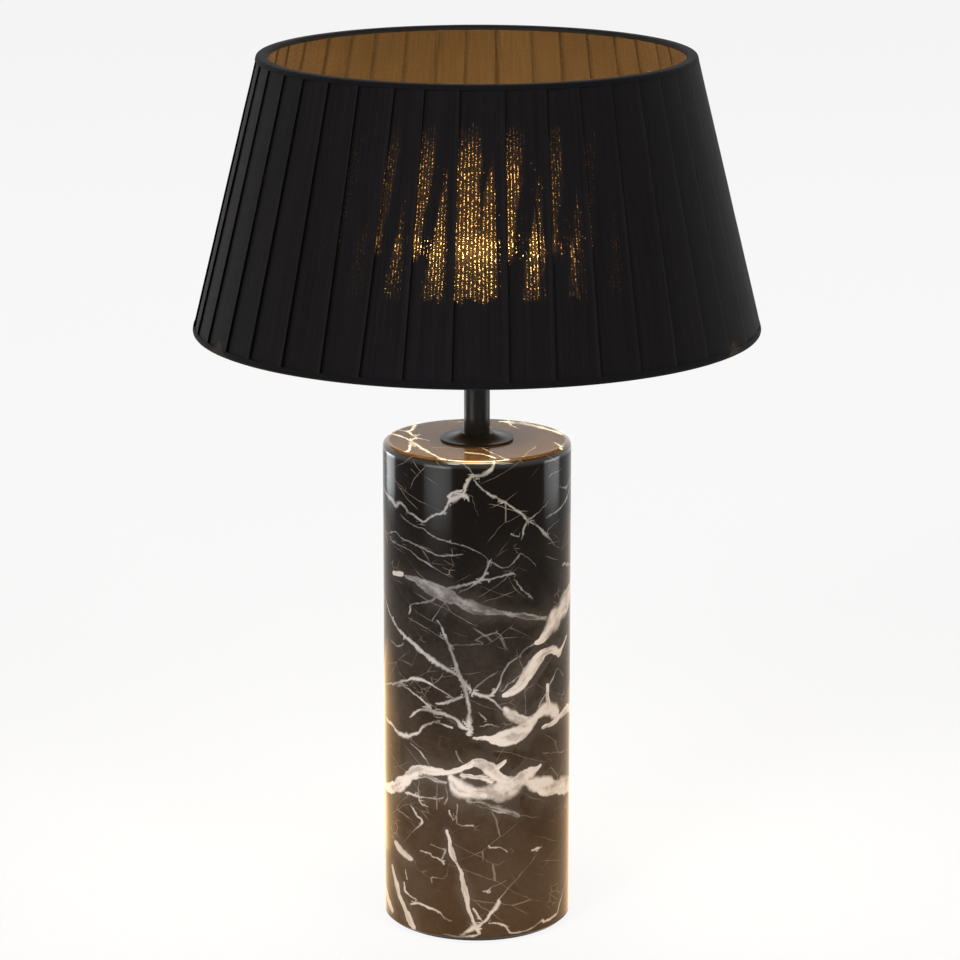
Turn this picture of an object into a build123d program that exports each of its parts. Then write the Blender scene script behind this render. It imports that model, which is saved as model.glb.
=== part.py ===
from build123d import *
import math
import os

# Cordless table lamp: a bored marble column with the battery and its charger inside, a short steel stem,
# a screw-base lampholder with an opal globe bulb, and a pleated fabric shade on a wire frame.
# Millimetres, +Z up. The origin is the centre of the foot, on the surface that the lamp stands on.
# The front faces -Y, and the panel with the charging socket and the button faces +Y.

os.makedirs("parts", exist_ok=True)

# Clearances of the fits
SLIDE = 0.3
SEAT = 0.15
THREAD = 0.1

# Column and foot
COLUMN_DIAMETER = 117.0
COLUMN_HEIGHT = 308.5
COLUMN_TOP_ROUND = 2.5
COLUMN_BOTTOM_CHAMFER = 2.0
POCKET_DEPTH = 118.0
POCKET_ROOM = 3.8
FOOT_THICKNESS = 1.5
FOOT_INSET = 4.5
FOOT_EDGE_ROUND = 0.5

# Base plate and its screws
PLATE_THICKNESS = 3.0
PLATE_SHOULDER = 10.0
PLATE_SCREW_COUNT = 4
PLATE_SCREW_DIAMETER = 4.0
PLATE_SCREW_LENGTH = 12.0
PLATE_SCREW_START = 45.0
INSERT_WALL = 0.9
INSERT_LENGTH = 10.0

# Rear panel, charging socket, button and light
PANEL_WIDTH = 39.4
PANEL_HEIGHT = 16.7
PANEL_RECESS = 0.8
PANEL_WALL = 2.5
TONGUE_THICKNESS = 2.0
TONGUE_REACH = 11.0
PANEL_SCREW_DIAMETER = 3.0
PANEL_SCREW_HEAD_HEIGHT = 1.8
PANEL_SCREW_INSET = 3.1
SOCKET_WIDTH = 8.94
SOCKET_HEIGHT = 3.26
SOCKET_LENGTH = 10.5
SOCKET_WALL = 0.3
SOCKET_EDGE = 0.5
SOCKET_TONGUE_WIDTH = 6.7
SOCKET_TONGUE_HEIGHT = 0.7
BUTTON_DIAMETER = 8.0
BUTTON_TRAVEL = 1.0
BUTTON_FLANGE = 0.8
BUTTON_FLANGE_THICKNESS = 1.2
SWITCH_WIDTH = 7.0
SWITCH_DEPTH = 4.0
SWITCH_HEIGHT = 3.4
PLUNGER_WIDTH = 3.0
PLUNGER_HEIGHT = 1.6
PLUNGER_INSERT = 1.2
LIGHT_DIAMETER = 3.0
LIGHT_COLLAR = 0.6

# Control board
BOARD_THICKNESS = 1.6
BOARD_GAP = 1.2
BOARD_START = 8.0
STANDOFF_DIAMETER = 5.0
STANDOFF_PEG_DIAMETER = 2.4
STANDOFF_INSET = 3.5
STANDOFF_SPACING = 20.0
COIL_SIZE = 7.0
COIL_HEIGHT = 4.5
CAPACITOR_DIAMETER = 6.3
CAPACITOR_HEIGHT = 7.5
CHIP_SIZE = 5.0
CHIP_HEIGHT = 1.0

# Battery pack
CELL_COUNT = 3
CELL_DIAMETER = 18.4
CELL_LENGTH = 65.0
CELL_GAP = 1.1
CELL_ROOM = 0.25
TRAY_WALL = 1.75
TRAY_FLOOR = 2.0
TRAY_HEIGHT = 10.0
TAB_THICKNESS = 0.4
TAB_WIDTH = 8.0
LUG_WIDTH = 5.0
LUG_REACH = 2.2
ROD_DIAMETER = 3.0
ROD_EDGE = 1.1
ROD_HEAD_HEIGHT = 2.0
PACK_SETBACK = 2.8

# Pipe, its clamp and the leads
PIPE_DIAMETER = 10.0
PIPE_BORE = 7.4
PIPE_ROOM = 1.0
PIPE_PROUD = 3.0
WASHER_DIAMETER = 40.0
WASHER_THICKNESS = 3.0
NUT_ACROSS_FLATS = 17.0
NUT_HEIGHT = 6.0
LEAD_DIAMETER = 1.6
LEAD_SPREAD = 3.2

# Stem
FLANGE_DIAMETER = 45.0
FLANGE_HEIGHT = 4.5
FLANGE_EDGE = 1.2
FLANGE_CROWN = 0.9
FLANGE_LAND = 2.0
STEM_DIAMETER = 16.0
STEM_WALL = 1.5
STEM_LENGTH = 31.3
SPIGOT_HEIGHT = 3.0

# Lampholder for a 27 mm screw base
HOLDER_DIAMETER = 39.0
HOLDER_WALL = 2.2
CAP_HEIGHT = 28.0
CAP_DOME = 10.0
CAP_FLOOR = 8.0
CORE_RISE = 21.0
CORE_LEDGE = 2.0
CORE_FLOOR = 5.0
SHELL_BORE = 27.0
SHELL_WALL = 0.5
SHELL_HEIGHT = 21.5
SHELL_FLANGE = 4.5
CONTACT_RISE = 1.1
CONTACT_WIDTH = 5.0
CONTACT_LENGTH = 14.0
TERMINAL_SIZE = 5.0
TERMINAL_X = 7.0
SKIRT_HEIGHT = 24.5
SKIRT_LIP = 2.5
SHOULDER_RISE = 8.5
SHOULDER_DIAMETER = 48.0
SHOULDER_THICKNESS = 2.5
RING_DIAMETER = 57.0
RING_HEIGHT = 9.0
RING_GRIP_COUNT = 16
RING_GRIP_DEPTH = 1.0

# Bulb
BULB_DIAMETER = 95.0
BULB_GLASS = 1.0
BULB_NECK = 1.5
BULB_NECK_ROUND = 10.0
BULB_CAP_DIAMETER = 26.4
BULB_CAP_WALL = 0.6
BULB_CAP_HEIGHT = 20.5
BULB_TIP_DIAMETER = 9.4
BULB_TIP_HEIGHT = 1.0
INSULATOR_HEIGHT = 3.3
MOUNT_FOOT_HEIGHT = 20.0
MOUNT_ROD_DIAMETER = 6.0
FILAMENT_COUNT = 4
FILAMENT_DIAMETER = 1.8
FILAMENT_LENGTH = 38.0
FILAMENT_CIRCLE = 18.0
SUPPORT_DIAMETER = 1.0

# Shade
SHADE_BOTTOM_DIAMETER = 350.0
SHADE_TOP_DIAMETER = 267.0
SHADE_HEIGHT = 170.0
RING_WIRE = 3.5
STRUT_WIRE = 3.0
STRUT_COUNT = 4
STRUT_START = 45.0
RING_INSET = 3.2
FABRIC_GAP = 0.25
LINING_THICKNESS = 0.8
PLEAT_COUNT = 40
PLEAT_DEPTH = 1.6
PLEAT_THICKNESS = 0.7
PLEAT_STEP_ANGLE = 0.4
PLEAT_PHASE = 265.7
BOTTOM_BINDING_HEIGHT = 6.0
TOP_BINDING_HEIGHT = 5.0
BINDING_INNER_HEIGHT = 5.6
BINDING_ROUND = 2.2
RIM_LIP = 1.6
FITTER_DIAMETER = 64.0
FITTER_THICKNESS = 1.5
FITTER_ARM_COUNT = 3
FITTER_ARM_WIRE = 4.0
FITTER_ARM_START = 60.0
FITTER_ARM_LAP = 2.0

# Heights up the lamp
stone_bottom = FOOT_THICKNESS
stone_top = stone_bottom + COLUMN_HEIGHT
plate_top = stone_bottom + PLATE_THICKNESS
pocket_top = stone_bottom + POCKET_DEPTH
flange_top = stone_top + FLANGE_HEIGHT
cap_bottom = flange_top + STEM_LENGTH
cap_top = cap_bottom + CAP_HEIGHT
core_bottom = cap_bottom + CORE_RISE
core_floor = core_bottom + CORE_FLOOR
skirt_top = cap_top + SKIRT_HEIGHT
core_top = skirt_top - SKIRT_LIP - SLIDE
shoulder_top = cap_top + SHOULDER_RISE
fitter_bottom = shoulder_top + SEAT
fitter_top = fitter_bottom + FITTER_THICKNESS
ring_bottom = fitter_top + SEAT
tip_bottom = core_floor + CONTACT_RISE + SEAT
insulator_bottom = tip_bottom + BULB_TIP_HEIGHT
bulb_cap_bottom = insulator_bottom + INSULATOR_HEIGHT
bulb_cap_top = bulb_cap_bottom + BULB_CAP_HEIGHT
wire_z = (fitter_bottom + fitter_top) / 2
shade_bottom = wire_z - RING_INSET
shade_top = shade_bottom + SHADE_HEIGHT
rim_wire_z = shade_top - RING_INSET

# Radii of the fits
column_radius = COLUMN_DIAMETER / 2
pipe_radius = PIPE_DIAMETER / 2
stem_radius = STEM_DIAMETER / 2
holder_radius = HOLDER_DIAMETER / 2
holder_bore = holder_radius - HOLDER_WALL
core_radius = holder_bore - SLIDE
shell_radius = SHELL_BORE / 2 + SHELL_WALL
bulb_cap_radius = BULB_CAP_DIAMETER / 2
cell_pitch = CELL_DIAMETER + CELL_GAP
cell_well = CELL_DIAMETER / 2 + CELL_ROOM
pack_half_depth = cell_well + TRAY_WALL
pack_span = cell_pitch * (CELL_COUNT - 1)
pack_y = -(pack_half_depth + PACK_SETBACK)
pocket_radius = math.hypot(pack_span / 2, pack_y) + pack_half_depth + POCKET_ROOM
plate_radius = pocket_radius + PLATE_SHOULDER
plate_screw_radius = (pocket_radius + plate_radius) / 2
panel_radius = column_radius - PANEL_RECESS
panel_back = math.sqrt(panel_radius**2 - (PANEL_WIDTH / 2) ** 2) - PANEL_WALL


def half_section(points):
    """Closed outline of straight sides in the X-Z plane, for a piece turned about the lamp's axis."""
    with BuildSketch(Plane.XZ) as section:
        with BuildLine():
            Polyline(*points, close=True)
        make_face()
    return section.sketch


def bend_radii(points):
    """Largest tangent arc at each corner of a route, from its shorter run and its turn."""
    radii = []
    for before, here, after in zip(points, points[1:], points[2:]):
        come = Vector(*here) - Vector(*before)
        go = Vector(*after) - Vector(*here)
        half_turn = math.radians(come.get_angle(go)) / 2
        radii.append(0.45 * min(come.length, go.length) / math.tan(half_turn))
    return radii


def lead(points):
    """Round lead along a route of straight runs and tangent arcs."""
    with BuildPart() as wire:
        with BuildLine():
            FilletPolyline(*points, radius=bend_radii(points))
        with BuildSketch(Plane(origin=points[0], z_dir=Vector(*points[1]) - Vector(*points[0]))):
            Circle(LEAD_DIAMETER / 2)
        sweep()
    return wire.part


# Marble column
notch_width = PANEL_WIDTH + 2 * SLIDE
notch_height = PANEL_HEIGHT + SLIDE
insert_radius = PLATE_SCREW_DIAMETER / 2 + THREAD + INSERT_WALL
insert_sites = (plate_screw_radius, PLATE_SCREW_COUNT, PLATE_SCREW_START)
with BuildPart() as marble_column:
    with BuildSketch(Plane.XY.offset(stone_bottom)):
        Circle(column_radius)
    extrude(amount=COLUMN_HEIGHT)
    fillet(marble_column.edges().group_by(Axis.Z)[-1], COLUMN_TOP_ROUND)
    chamfer(marble_column.edges().group_by(Axis.Z)[0], COLUMN_BOTTOM_CHAMFER)
    with BuildSketch(Plane.XY.offset(stone_bottom)):
        Circle(plate_radius + SLIDE)
    extrude(amount=PLATE_THICKNESS, mode=Mode.SUBTRACT)
    with BuildSketch(Plane.XY.offset(stone_bottom)):
        Circle(pocket_radius)
    extrude(amount=POCKET_DEPTH, mode=Mode.SUBTRACT)
    with BuildSketch(Plane.XY.offset(stone_bottom)):
        Rectangle(notch_width, COLUMN_DIAMETER, align=(Align.CENTER, Align.MIN))
    extrude(amount=notch_height, mode=Mode.SUBTRACT)
    with BuildSketch(Plane.XY.offset(plate_top)):
        with PolarLocations(*insert_sites):
            Circle(insert_radius + THREAD)
    extrude(amount=INSERT_LENGTH + SLIDE, mode=Mode.SUBTRACT)
    with BuildSketch(Plane.XY.offset(pocket_top)):
        Circle(pipe_radius + PIPE_ROOM)
    extrude(amount=stone_top - pocket_top, mode=Mode.SUBTRACT)

# Foot pad
with BuildPart() as foot_pad:
    with BuildSketch():
        Circle(column_radius - FOOT_INSET)
    extrude(amount=FOOT_THICKNESS)
    fillet(foot_pad.edges().group_by(Axis.Z)[0], FOOT_EDGE_ROUND)

# Base plate
head_radius = PLATE_SCREW_DIAMETER
panel_screw_x = PANEL_WIDTH / 2 - PANEL_SCREW_INSET
panel_screw_y = plate_radius - TONGUE_REACH / 2
panel_screw_sites = [(-panel_screw_x, panel_screw_y), (panel_screw_x, panel_screw_y)]
rod_x = (pack_span - cell_pitch) / 2
rod_y = pack_half_depth - ROD_EDGE - ROD_DIAMETER / 2
rod_sites = [(rod_x, pack_y + rod_y), (-rod_x, pack_y - rod_y)]
with BuildPart() as base_plate:
    with BuildSketch(Plane.XY.offset(stone_bottom)):
        Circle(plate_radius)
        with Locations(*panel_screw_sites):
            Circle(PANEL_SCREW_DIAMETER / 2 + THREAD, mode=Mode.SUBTRACT)
        with Locations(*rod_sites):
            Circle(ROD_DIAMETER / 2 + THREAD, mode=Mode.SUBTRACT)
    extrude(amount=PLATE_THICKNESS)
    with Locations(Plane.XY.offset(stone_bottom).rotated((180, 0, 0))):
        with PolarLocations(*insert_sites):
            CounterSinkHole(PLATE_SCREW_DIAMETER / 2 + THREAD, head_radius + THREAD)

# Threaded inserts and the screws of the plate
with BuildPart() as plate_inserts:
    with BuildSketch(Plane.XY.offset(plate_top)):
        with PolarLocations(*insert_sites):
            Circle(insert_radius)
            Circle(PLATE_SCREW_DIAMETER / 2 + THREAD, mode=Mode.SUBTRACT)
    extrude(amount=INSERT_LENGTH)

with BuildPart() as plate_screws:
    with PolarLocations(*insert_sites):
        with Locations((0, 0, stone_bottom)):
            Cylinder(PLATE_SCREW_DIAMETER / 2, PLATE_SCREW_LENGTH,
                     align=(Align.CENTER, Align.CENTER, Align.MIN))
            Cone(head_radius, PLATE_SCREW_DIAMETER / 2, head_radius - PLATE_SCREW_DIAMETER / 2,
                 align=(Align.CENTER, Align.CENTER, Align.MIN))

# Rear panel, with the tongue that screws to the plate
panel_screw_head = PANEL_SCREW_DIAMETER * 0.9
board_half = panel_screw_x - panel_screw_head - SLIDE
board_bottom = plate_top + TONGUE_THICKNESS + BOARD_GAP
board_top = board_bottom + BOARD_THICKNESS
port_x = board_half - SOCKET_WIDTH / 2 - SOCKET_EDGE
port_z = board_top + SOCKET_HEIGHT / 2
tongue_front = plate_radius - TONGUE_REACH
with BuildPart() as rear_panel:
    with BuildSketch(Plane.XY.offset(stone_bottom)):
        Circle(panel_radius)
        with Locations((0, panel_back)):
            Rectangle(PANEL_WIDTH, panel_radius, align=(Align.CENTER, Align.MIN), mode=Mode.INTERSECT)
    extrude(amount=PANEL_HEIGHT)
    with BuildSketch(Plane.XY.offset(plate_top)):
        with Locations((0, tongue_front)):
            Rectangle(PANEL_WIDTH, panel_back - tongue_front, align=(Align.CENTER, Align.MIN))
        with Locations(*panel_screw_sites):
            Circle(PANEL_SCREW_DIAMETER / 2 + THREAD, mode=Mode.SUBTRACT)
    extrude(amount=TONGUE_THICKNESS)
    with BuildSketch(Plane.XZ.offset(-panel_back)):
        with Locations((port_x, port_z)):
            SlotOverall(SOCKET_WIDTH + 2 * SLIDE, SOCKET_HEIGHT + 2 * SLIDE)
        with Locations((-port_x, port_z)):
            Circle(BUTTON_DIAMETER / 2 + SLIDE)
        with Locations((0, port_z)):
            Circle(LIGHT_DIAMETER / 2 + THREAD)
    extrude(amount=-panel_radius, mode=Mode.SUBTRACT)

with BuildPart() as panel_screws:
    with BuildSketch(Plane.XY.offset(stone_bottom)):
        with Locations(*panel_screw_sites):
            Circle(PANEL_SCREW_DIAMETER / 2)
    extrude(amount=PLATE_THICKNESS + TONGUE_THICKNESS)
    with BuildSketch(Plane.XY.offset(plate_top + TONGUE_THICKNESS)):
        with Locations(*panel_screw_sites):
            Circle(panel_screw_head)
    extrude(amount=PANEL_SCREW_HEAD_HEIGHT)

# Control board on snap-in standoffs
board_back = panel_back - BUTTON_TRAVEL - SLIDE
standoff_x = board_half - STANDOFF_INSET
standoff_y = BOARD_START + STANDOFF_INSET
standoff_rows = (standoff_y, standoff_y + STANDOFF_SPACING)
standoff_sites = [(x, y) for x in (-standoff_x, standoff_x) for y in standoff_rows]
with BuildPart() as control_board:
    with BuildSketch(Plane.XY.offset(board_bottom)):
        with Locations((0, BOARD_START)):
            Rectangle(2 * board_half, board_back - BOARD_START, align=(Align.CENTER, Align.MIN))
        with Locations(*standoff_sites):
            Circle(STANDOFF_PEG_DIAMETER / 2 + THREAD, mode=Mode.SUBTRACT)
    extrude(amount=BOARD_THICKNESS)

with BuildPart() as board_standoffs:
    with BuildSketch(Plane.XY.offset(plate_top)):
        with Locations(*standoff_sites):
            Circle(STANDOFF_DIAMETER / 2)
    extrude(amount=board_bottom - plate_top)
    with BuildSketch(Plane.XY.offset(board_bottom)):
        with Locations(*standoff_sites):
            Circle(STANDOFF_PEG_DIAMETER / 2)
    extrude(amount=BOARD_THICKNESS)
    with BuildSketch(Plane.XY.offset(board_top)):
        with Locations(*standoff_sites):
            Circle((STANDOFF_DIAMETER + STANDOFF_PEG_DIAMETER) / 4)
    extrude(amount=STANDOFF_PEG_DIAMETER / 2)

# Parts on the board: coil, two capacitors, chip and the lamp of the status light
light_back = panel_back - LIGHT_DIAMETER
part_row = standoff_y + STANDOFF_SPACING / 2
capacitor_x = standoff_x - STANDOFF_INSET / 2
with BuildPart() as board_components:
    with BuildSketch(Plane.XY.offset(board_top)):
        with Locations((0, standoff_y + STANDOFF_SPACING)):
            RectangleRounded(COIL_SIZE, COIL_SIZE, COIL_SIZE / 5)
    extrude(amount=COIL_HEIGHT)
    with BuildSketch(Plane.XY.offset(board_top)):
        with Locations((-capacitor_x, part_row), (capacitor_x, part_row)):
            Circle(CAPACITOR_DIAMETER / 2)
    extrude(amount=CAPACITOR_HEIGHT)
    with BuildSketch(Plane.XY.offset(board_top)):
        with Locations((0, part_row + CHIP_SIZE)):
            Rectangle(CHIP_SIZE, CHIP_SIZE / 2)
    extrude(amount=CHIP_HEIGHT)
    with BuildSketch(Plane.XY.offset(board_top)):
        with Locations((0, light_back - LIGHT_DIAMETER / 2 - SLIDE)):
            Rectangle(LIGHT_DIAMETER, LIGHT_DIAMETER)
    extrude(amount=SOCKET_HEIGHT)

# Charging socket: a folded shell with its contact tongue
socket_mouth = math.sqrt(panel_radius**2 - port_x**2) - SLIDE
socket_back = socket_mouth - SOCKET_LENGTH
with BuildPart() as usb_socket:
    with BuildSketch(Plane.XZ.offset(-socket_back)):
        with Locations((port_x, port_z)):
            SlotOverall(SOCKET_WIDTH, SOCKET_HEIGHT)
    extrude(amount=-SOCKET_LENGTH)
    with BuildSketch(Plane.XZ.offset(-socket_back - SOCKET_WALL)):
        with Locations((port_x, port_z)):
            SlotOverall(SOCKET_WIDTH - 2 * SOCKET_WALL, SOCKET_HEIGHT - 2 * SOCKET_WALL)
    extrude(amount=-SOCKET_LENGTH, mode=Mode.SUBTRACT)

with BuildPart() as usb_tongue:
    with BuildSketch(Plane.XZ.offset(-socket_back - SOCKET_WALL)):
        with Locations((port_x, port_z)):
            Rectangle(SOCKET_TONGUE_WIDTH, SOCKET_TONGUE_HEIGHT)
    extrude(amount=-(SOCKET_LENGTH - 2 * SOCKET_WALL - SOCKET_TONGUE_HEIGHT))

# Push button, its plunger and the switch behind it
button_face = math.sqrt(panel_radius**2 - port_x**2)
flange_front = panel_back - SEAT
flange_back = flange_front - BUTTON_FLANGE_THICKNESS
switch_front = flange_back - BUTTON_TRAVEL - SLIDE
plunger_back = switch_front - PLUNGER_INSERT
with BuildPart() as power_button:
    with BuildSketch(Plane.XZ.offset(-flange_front)):
        with Locations((-port_x, port_z)):
            Circle(BUTTON_DIAMETER / 2)
    extrude(amount=-(button_face - flange_front))
    fillet(power_button.edges().group_by(Axis.Y)[-1], SLIDE)
    with BuildSketch(Plane.XZ.offset(-flange_back)):
        with Locations((-port_x, port_z)):
            RectangleRounded(BUTTON_DIAMETER + 2 * BUTTON_FLANGE, SOCKET_HEIGHT, SOCKET_HEIGHT / 3)
    extrude(amount=-BUTTON_FLANGE_THICKNESS)

with BuildPart() as switch_plunger:
    with BuildSketch(Plane.XZ.offset(-plunger_back)):
        with Locations((-port_x, port_z)):
            Rectangle(PLUNGER_WIDTH, PLUNGER_HEIGHT)
    extrude(amount=-(flange_back - plunger_back))

with BuildPart() as switch_body:
    with BuildSketch(Plane.XY.offset(board_top)):
        with Locations((-port_x, switch_front)):
            Rectangle(SWITCH_WIDTH, SWITCH_DEPTH, align=(Align.CENTER, Align.MAX))
    extrude(amount=SWITCH_HEIGHT)
    with BuildSketch(Plane.XZ.offset(-switch_front)):
        with Locations((-port_x, port_z)):
            Rectangle(PLUNGER_WIDTH + 2 * SLIDE, PLUNGER_HEIGHT + 2 * SLIDE)
    extrude(amount=PLUNGER_INSERT + BUTTON_TRAVEL + SLIDE, mode=Mode.SUBTRACT)

# Light pipe of the charge state
with BuildPart() as status_light:
    with BuildSketch(Plane.XZ.offset(-light_back)):
        with Locations((0, port_z)):
            Circle(LIGHT_DIAMETER / 2)
    extrude(amount=-(panel_radius - SEAT - light_back))
    fillet(status_light.edges().group_by(Axis.Y)[-1], LIGHT_DIAMETER / 6)
    with BuildSketch(Plane.XZ.offset(-light_back)):
        with Locations((0, port_z)):
            RectangleRounded(LIGHT_DIAMETER + 2 * LIGHT_COLLAR, SOCKET_HEIGHT, LIGHT_COLLAR)
    extrude(amount=-(panel_back - SEAT - light_back))

# Battery pack: tray, tabs, cells, cap and tie rods
pack_plane = Plane.XY.move(Location((0, pack_y, 0)))
tray_floor = plate_top + TRAY_FLOOR
cell_bottom = tray_floor + TAB_THICKNESS
cell_top = cell_bottom + CELL_LENGTH
cap_inside = cell_top + TAB_THICKNESS
pack_top = cap_inside + TRAY_FLOOR
channel_width = TAB_WIDTH + 2 * SLIDE
lug_slot = LUG_WIDTH + 2 * SLIDE
rod_places = [(rod_x, rod_y), (-rod_x, -rod_y)]


def pack_holder(bottom, wells_from, channel_from):
    """Tray or cap of the pack: an oval block with wells for the cells and a channel for the tabs."""
    with BuildPart() as holder:
        with BuildSketch(pack_plane.offset(bottom)):
            SlotCenterToCenter(pack_span, 2 * pack_half_depth)
            with Locations(*rod_places):
                Circle(ROD_DIAMETER / 2 + THREAD, mode=Mode.SUBTRACT)
        extrude(amount=TRAY_HEIGHT)
        with BuildSketch(pack_plane.offset(wells_from)):
            with GridLocations(cell_pitch, 1, CELL_COUNT, 1):
                Circle(cell_well)
        extrude(amount=TRAY_HEIGHT - TRAY_FLOOR, mode=Mode.SUBTRACT)
        with BuildSketch(pack_plane.offset(channel_from)):
            Rectangle(pack_span, channel_width)
            Rectangle(lug_slot, pack_half_depth, align=(Align.CENTER, Align.MIN))
        extrude(amount=TAB_THICKNESS, mode=Mode.SUBTRACT)
    return holder


battery_tray = pack_holder(plate_top, tray_floor, tray_floor)
battery_cap = pack_holder(pack_top - TRAY_HEIGHT, pack_top - TRAY_HEIGHT, cell_top)

with BuildPart() as battery_tabs:
    for tab_bottom in (tray_floor, cell_top):
        with BuildSketch(pack_plane.offset(tab_bottom)):
            Rectangle(pack_span + TAB_WIDTH, TAB_WIDTH)
            Rectangle(LUG_WIDTH, pack_half_depth + LUG_REACH, align=(Align.CENTER, Align.MIN))
        extrude(amount=TAB_THICKNESS)

with BuildPart() as battery_cells:
    with BuildSketch(pack_plane.offset(cell_bottom)):
        with GridLocations(cell_pitch, 1, CELL_COUNT, 1):
            Circle(CELL_DIAMETER / 2)
    extrude(amount=CELL_LENGTH)

with BuildPart() as battery_rods:
    with BuildSketch(pack_plane.offset(stone_bottom)):
        with Locations(*rod_places):
            Circle(ROD_DIAMETER / 2)
    extrude(amount=pack_top - stone_bottom)
    with BuildSketch(pack_plane.offset(pack_top)):
        with Locations(*rod_places):
            Circle(ROD_DIAMETER)
    extrude(amount=ROD_HEAD_HEIGHT)

# Leads from the lugs of the pack to the front edge of the board
lug_y = pack_y + pack_half_depth + LUG_REACH - LEAD_DIAMETER / 2
pad_y = BOARD_START + LEAD_DIAMETER
arch = 6 * LEAD_DIAMETER
with BuildPart() as battery_leads:
    for side, lug_z in ((-1, tray_floor + TAB_THICKNESS), (1, cell_top)):
        add(lead([
            (side * LEAD_DIAMETER, lug_y, lug_z),
            (side * LEAD_DIAMETER, lug_y, board_top + arch),
            (side * LEAD_SPREAD, pad_y, board_top + arch),
            (side * LEAD_SPREAD, pad_y, board_top),
        ]))

# Pipe through the stone, clamped from below by a washer and a nut
pipe_bottom = pocket_top - WASHER_THICKNESS - NUT_HEIGHT - PIPE_PROUD
pipe_top = cap_bottom + CAP_FLOOR + PIPE_PROUD / 2
with BuildPart() as lamp_pipe:
    with BuildSketch(Plane.XY.offset(pipe_bottom)):
        Circle(pipe_radius)
        Circle(PIPE_BORE / 2, mode=Mode.SUBTRACT)
    extrude(amount=pipe_top - pipe_bottom)

with BuildPart() as clamp_washer:
    with BuildSketch(Plane.XY.offset(pocket_top - WASHER_THICKNESS)):
        Circle(WASHER_DIAMETER / 2)
        Circle(pipe_radius + SLIDE, mode=Mode.SUBTRACT)
    extrude(amount=WASHER_THICKNESS)

with BuildPart() as clamp_nut:
    with BuildSketch(Plane.XY.offset(pocket_top - WASHER_THICKNESS - NUT_HEIGHT)):
        RegularPolygon(NUT_ACROSS_FLATS / 2, 6, major_radius=False)
        Circle(pipe_radius + THREAD, mode=Mode.SUBTRACT)
    extrude(amount=NUT_HEIGHT)

# Leads from the board up the pipe to the terminals of the lampholder
terminal_bottom = core_bottom - TERMINAL_SIZE
pipe_lead_x = PIPE_BORE / 4 - THREAD
riser_y = standoff_y + STANDOFF_SPACING / 4
riser_z = (pack_top + pipe_bottom) / 3
with BuildPart() as lamp_leads:
    for side in (-1, 1):
        add(lead([
            (side * LEAD_SPREAD, riser_y, board_top),
            (side * LEAD_SPREAD, riser_y, riser_z),
            (side * pipe_lead_x, 0, pipe_bottom),
            (side * pipe_lead_x, 0, pipe_top),
            (side * TERMINAL_X, 0, terminal_bottom - LEAD_DIAMETER),
            (side * TERMINAL_X, 0, terminal_bottom),
        ]))

# Domed flange and the stem tube that stands on it
stem_bore = stem_radius - STEM_WALL
flange_bore = pipe_radius + SLIDE
flange_land = stem_radius + FLANGE_LAND
with BuildPart() as stem_flange:
    with BuildSketch(Plane.XZ):
        with BuildLine():
            dome = SagittaArc(
                (FLANGE_DIAMETER / 2, stone_top + FLANGE_EDGE), (flange_land, flange_top), FLANGE_CROWN
            )
            Polyline(
                dome @ 1,
                (stem_bore - SLIDE, flange_top),
                (stem_bore - SLIDE, flange_top + SPIGOT_HEIGHT),
                (flange_bore, flange_top + SPIGOT_HEIGHT),
                (flange_bore, stone_top),
                (FLANGE_DIAMETER / 2, stone_top),
                dome @ 0,
            )
        make_face()
    revolve(axis=Axis.Z)
    fillet(stem_flange.edges().filter_by(GeomType.CIRCLE).sort_by(SortBy.RADIUS)[-2:], FLANGE_EDGE / 3)

with BuildPart() as stem_tube:
    with BuildSketch(Plane.XY.offset(flange_top)):
        Circle(stem_radius)
        Circle(stem_bore, mode=Mode.SUBTRACT)
    extrude(amount=STEM_LENGTH)

# Lampholder cap: a dome on the pipe, with a ledge for the ceramic core
cap_ledge = core_radius - CORE_LEDGE
with BuildPart() as holder_cap:
    with BuildSketch(Plane.XZ):
        with BuildLine():
            shoulder = CenterArc(
                (holder_radius - CAP_DOME, cap_bottom + CAP_DOME), CAP_DOME, -90, 90
            )
            Polyline(
                shoulder @ 1,
                (holder_radius, cap_top),
                (holder_bore, cap_top),
                (holder_bore, core_bottom),
                (cap_ledge, core_bottom),
                (cap_ledge, cap_bottom + CAP_FLOOR),
                (pipe_radius + THREAD, cap_bottom + CAP_FLOOR),
                (pipe_radius + THREAD, cap_bottom),
                shoulder @ 0,
            )
        make_face()
    revolve(axis=Axis.Z)

with BuildPart() as holder_core:
    revolve(half_section([
        (0, core_bottom),
        (core_radius, core_bottom),
        (core_radius, core_top),
        (shell_radius + SLIDE, core_top),
        (shell_radius + SLIDE, core_floor),
        (0, core_floor),
    ]), axis=Axis.Z)

with BuildPart() as holder_terminals:
    with BuildSketch(Plane.XY.offset(terminal_bottom)):
        with Locations((-TERMINAL_X, 0), (TERMINAL_X, 0)):
            Rectangle(TERMINAL_SIZE, TERMINAL_SIZE)
    extrude(amount=TERMINAL_SIZE)

with BuildPart() as centre_contact:
    contact_half = CONTACT_LENGTH / 2
    with BuildSketch(Plane.XZ):
        with BuildLine():
            Polyline(
                (contact_half, core_floor),
                (contact_half, core_floor + SHELL_WALL),
                (contact_half / 2, core_floor + SHELL_WALL),
                (contact_half / 4, core_floor + CONTACT_RISE),
                (-contact_half / 4, core_floor + CONTACT_RISE),
                (-contact_half / 2, core_floor + SHELL_WALL),
                (-contact_half, core_floor + SHELL_WALL),
                (-contact_half, core_floor),
                close=True,
            )
        make_face()
    extrude(amount=CONTACT_WIDTH / 2, both=True)

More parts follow.
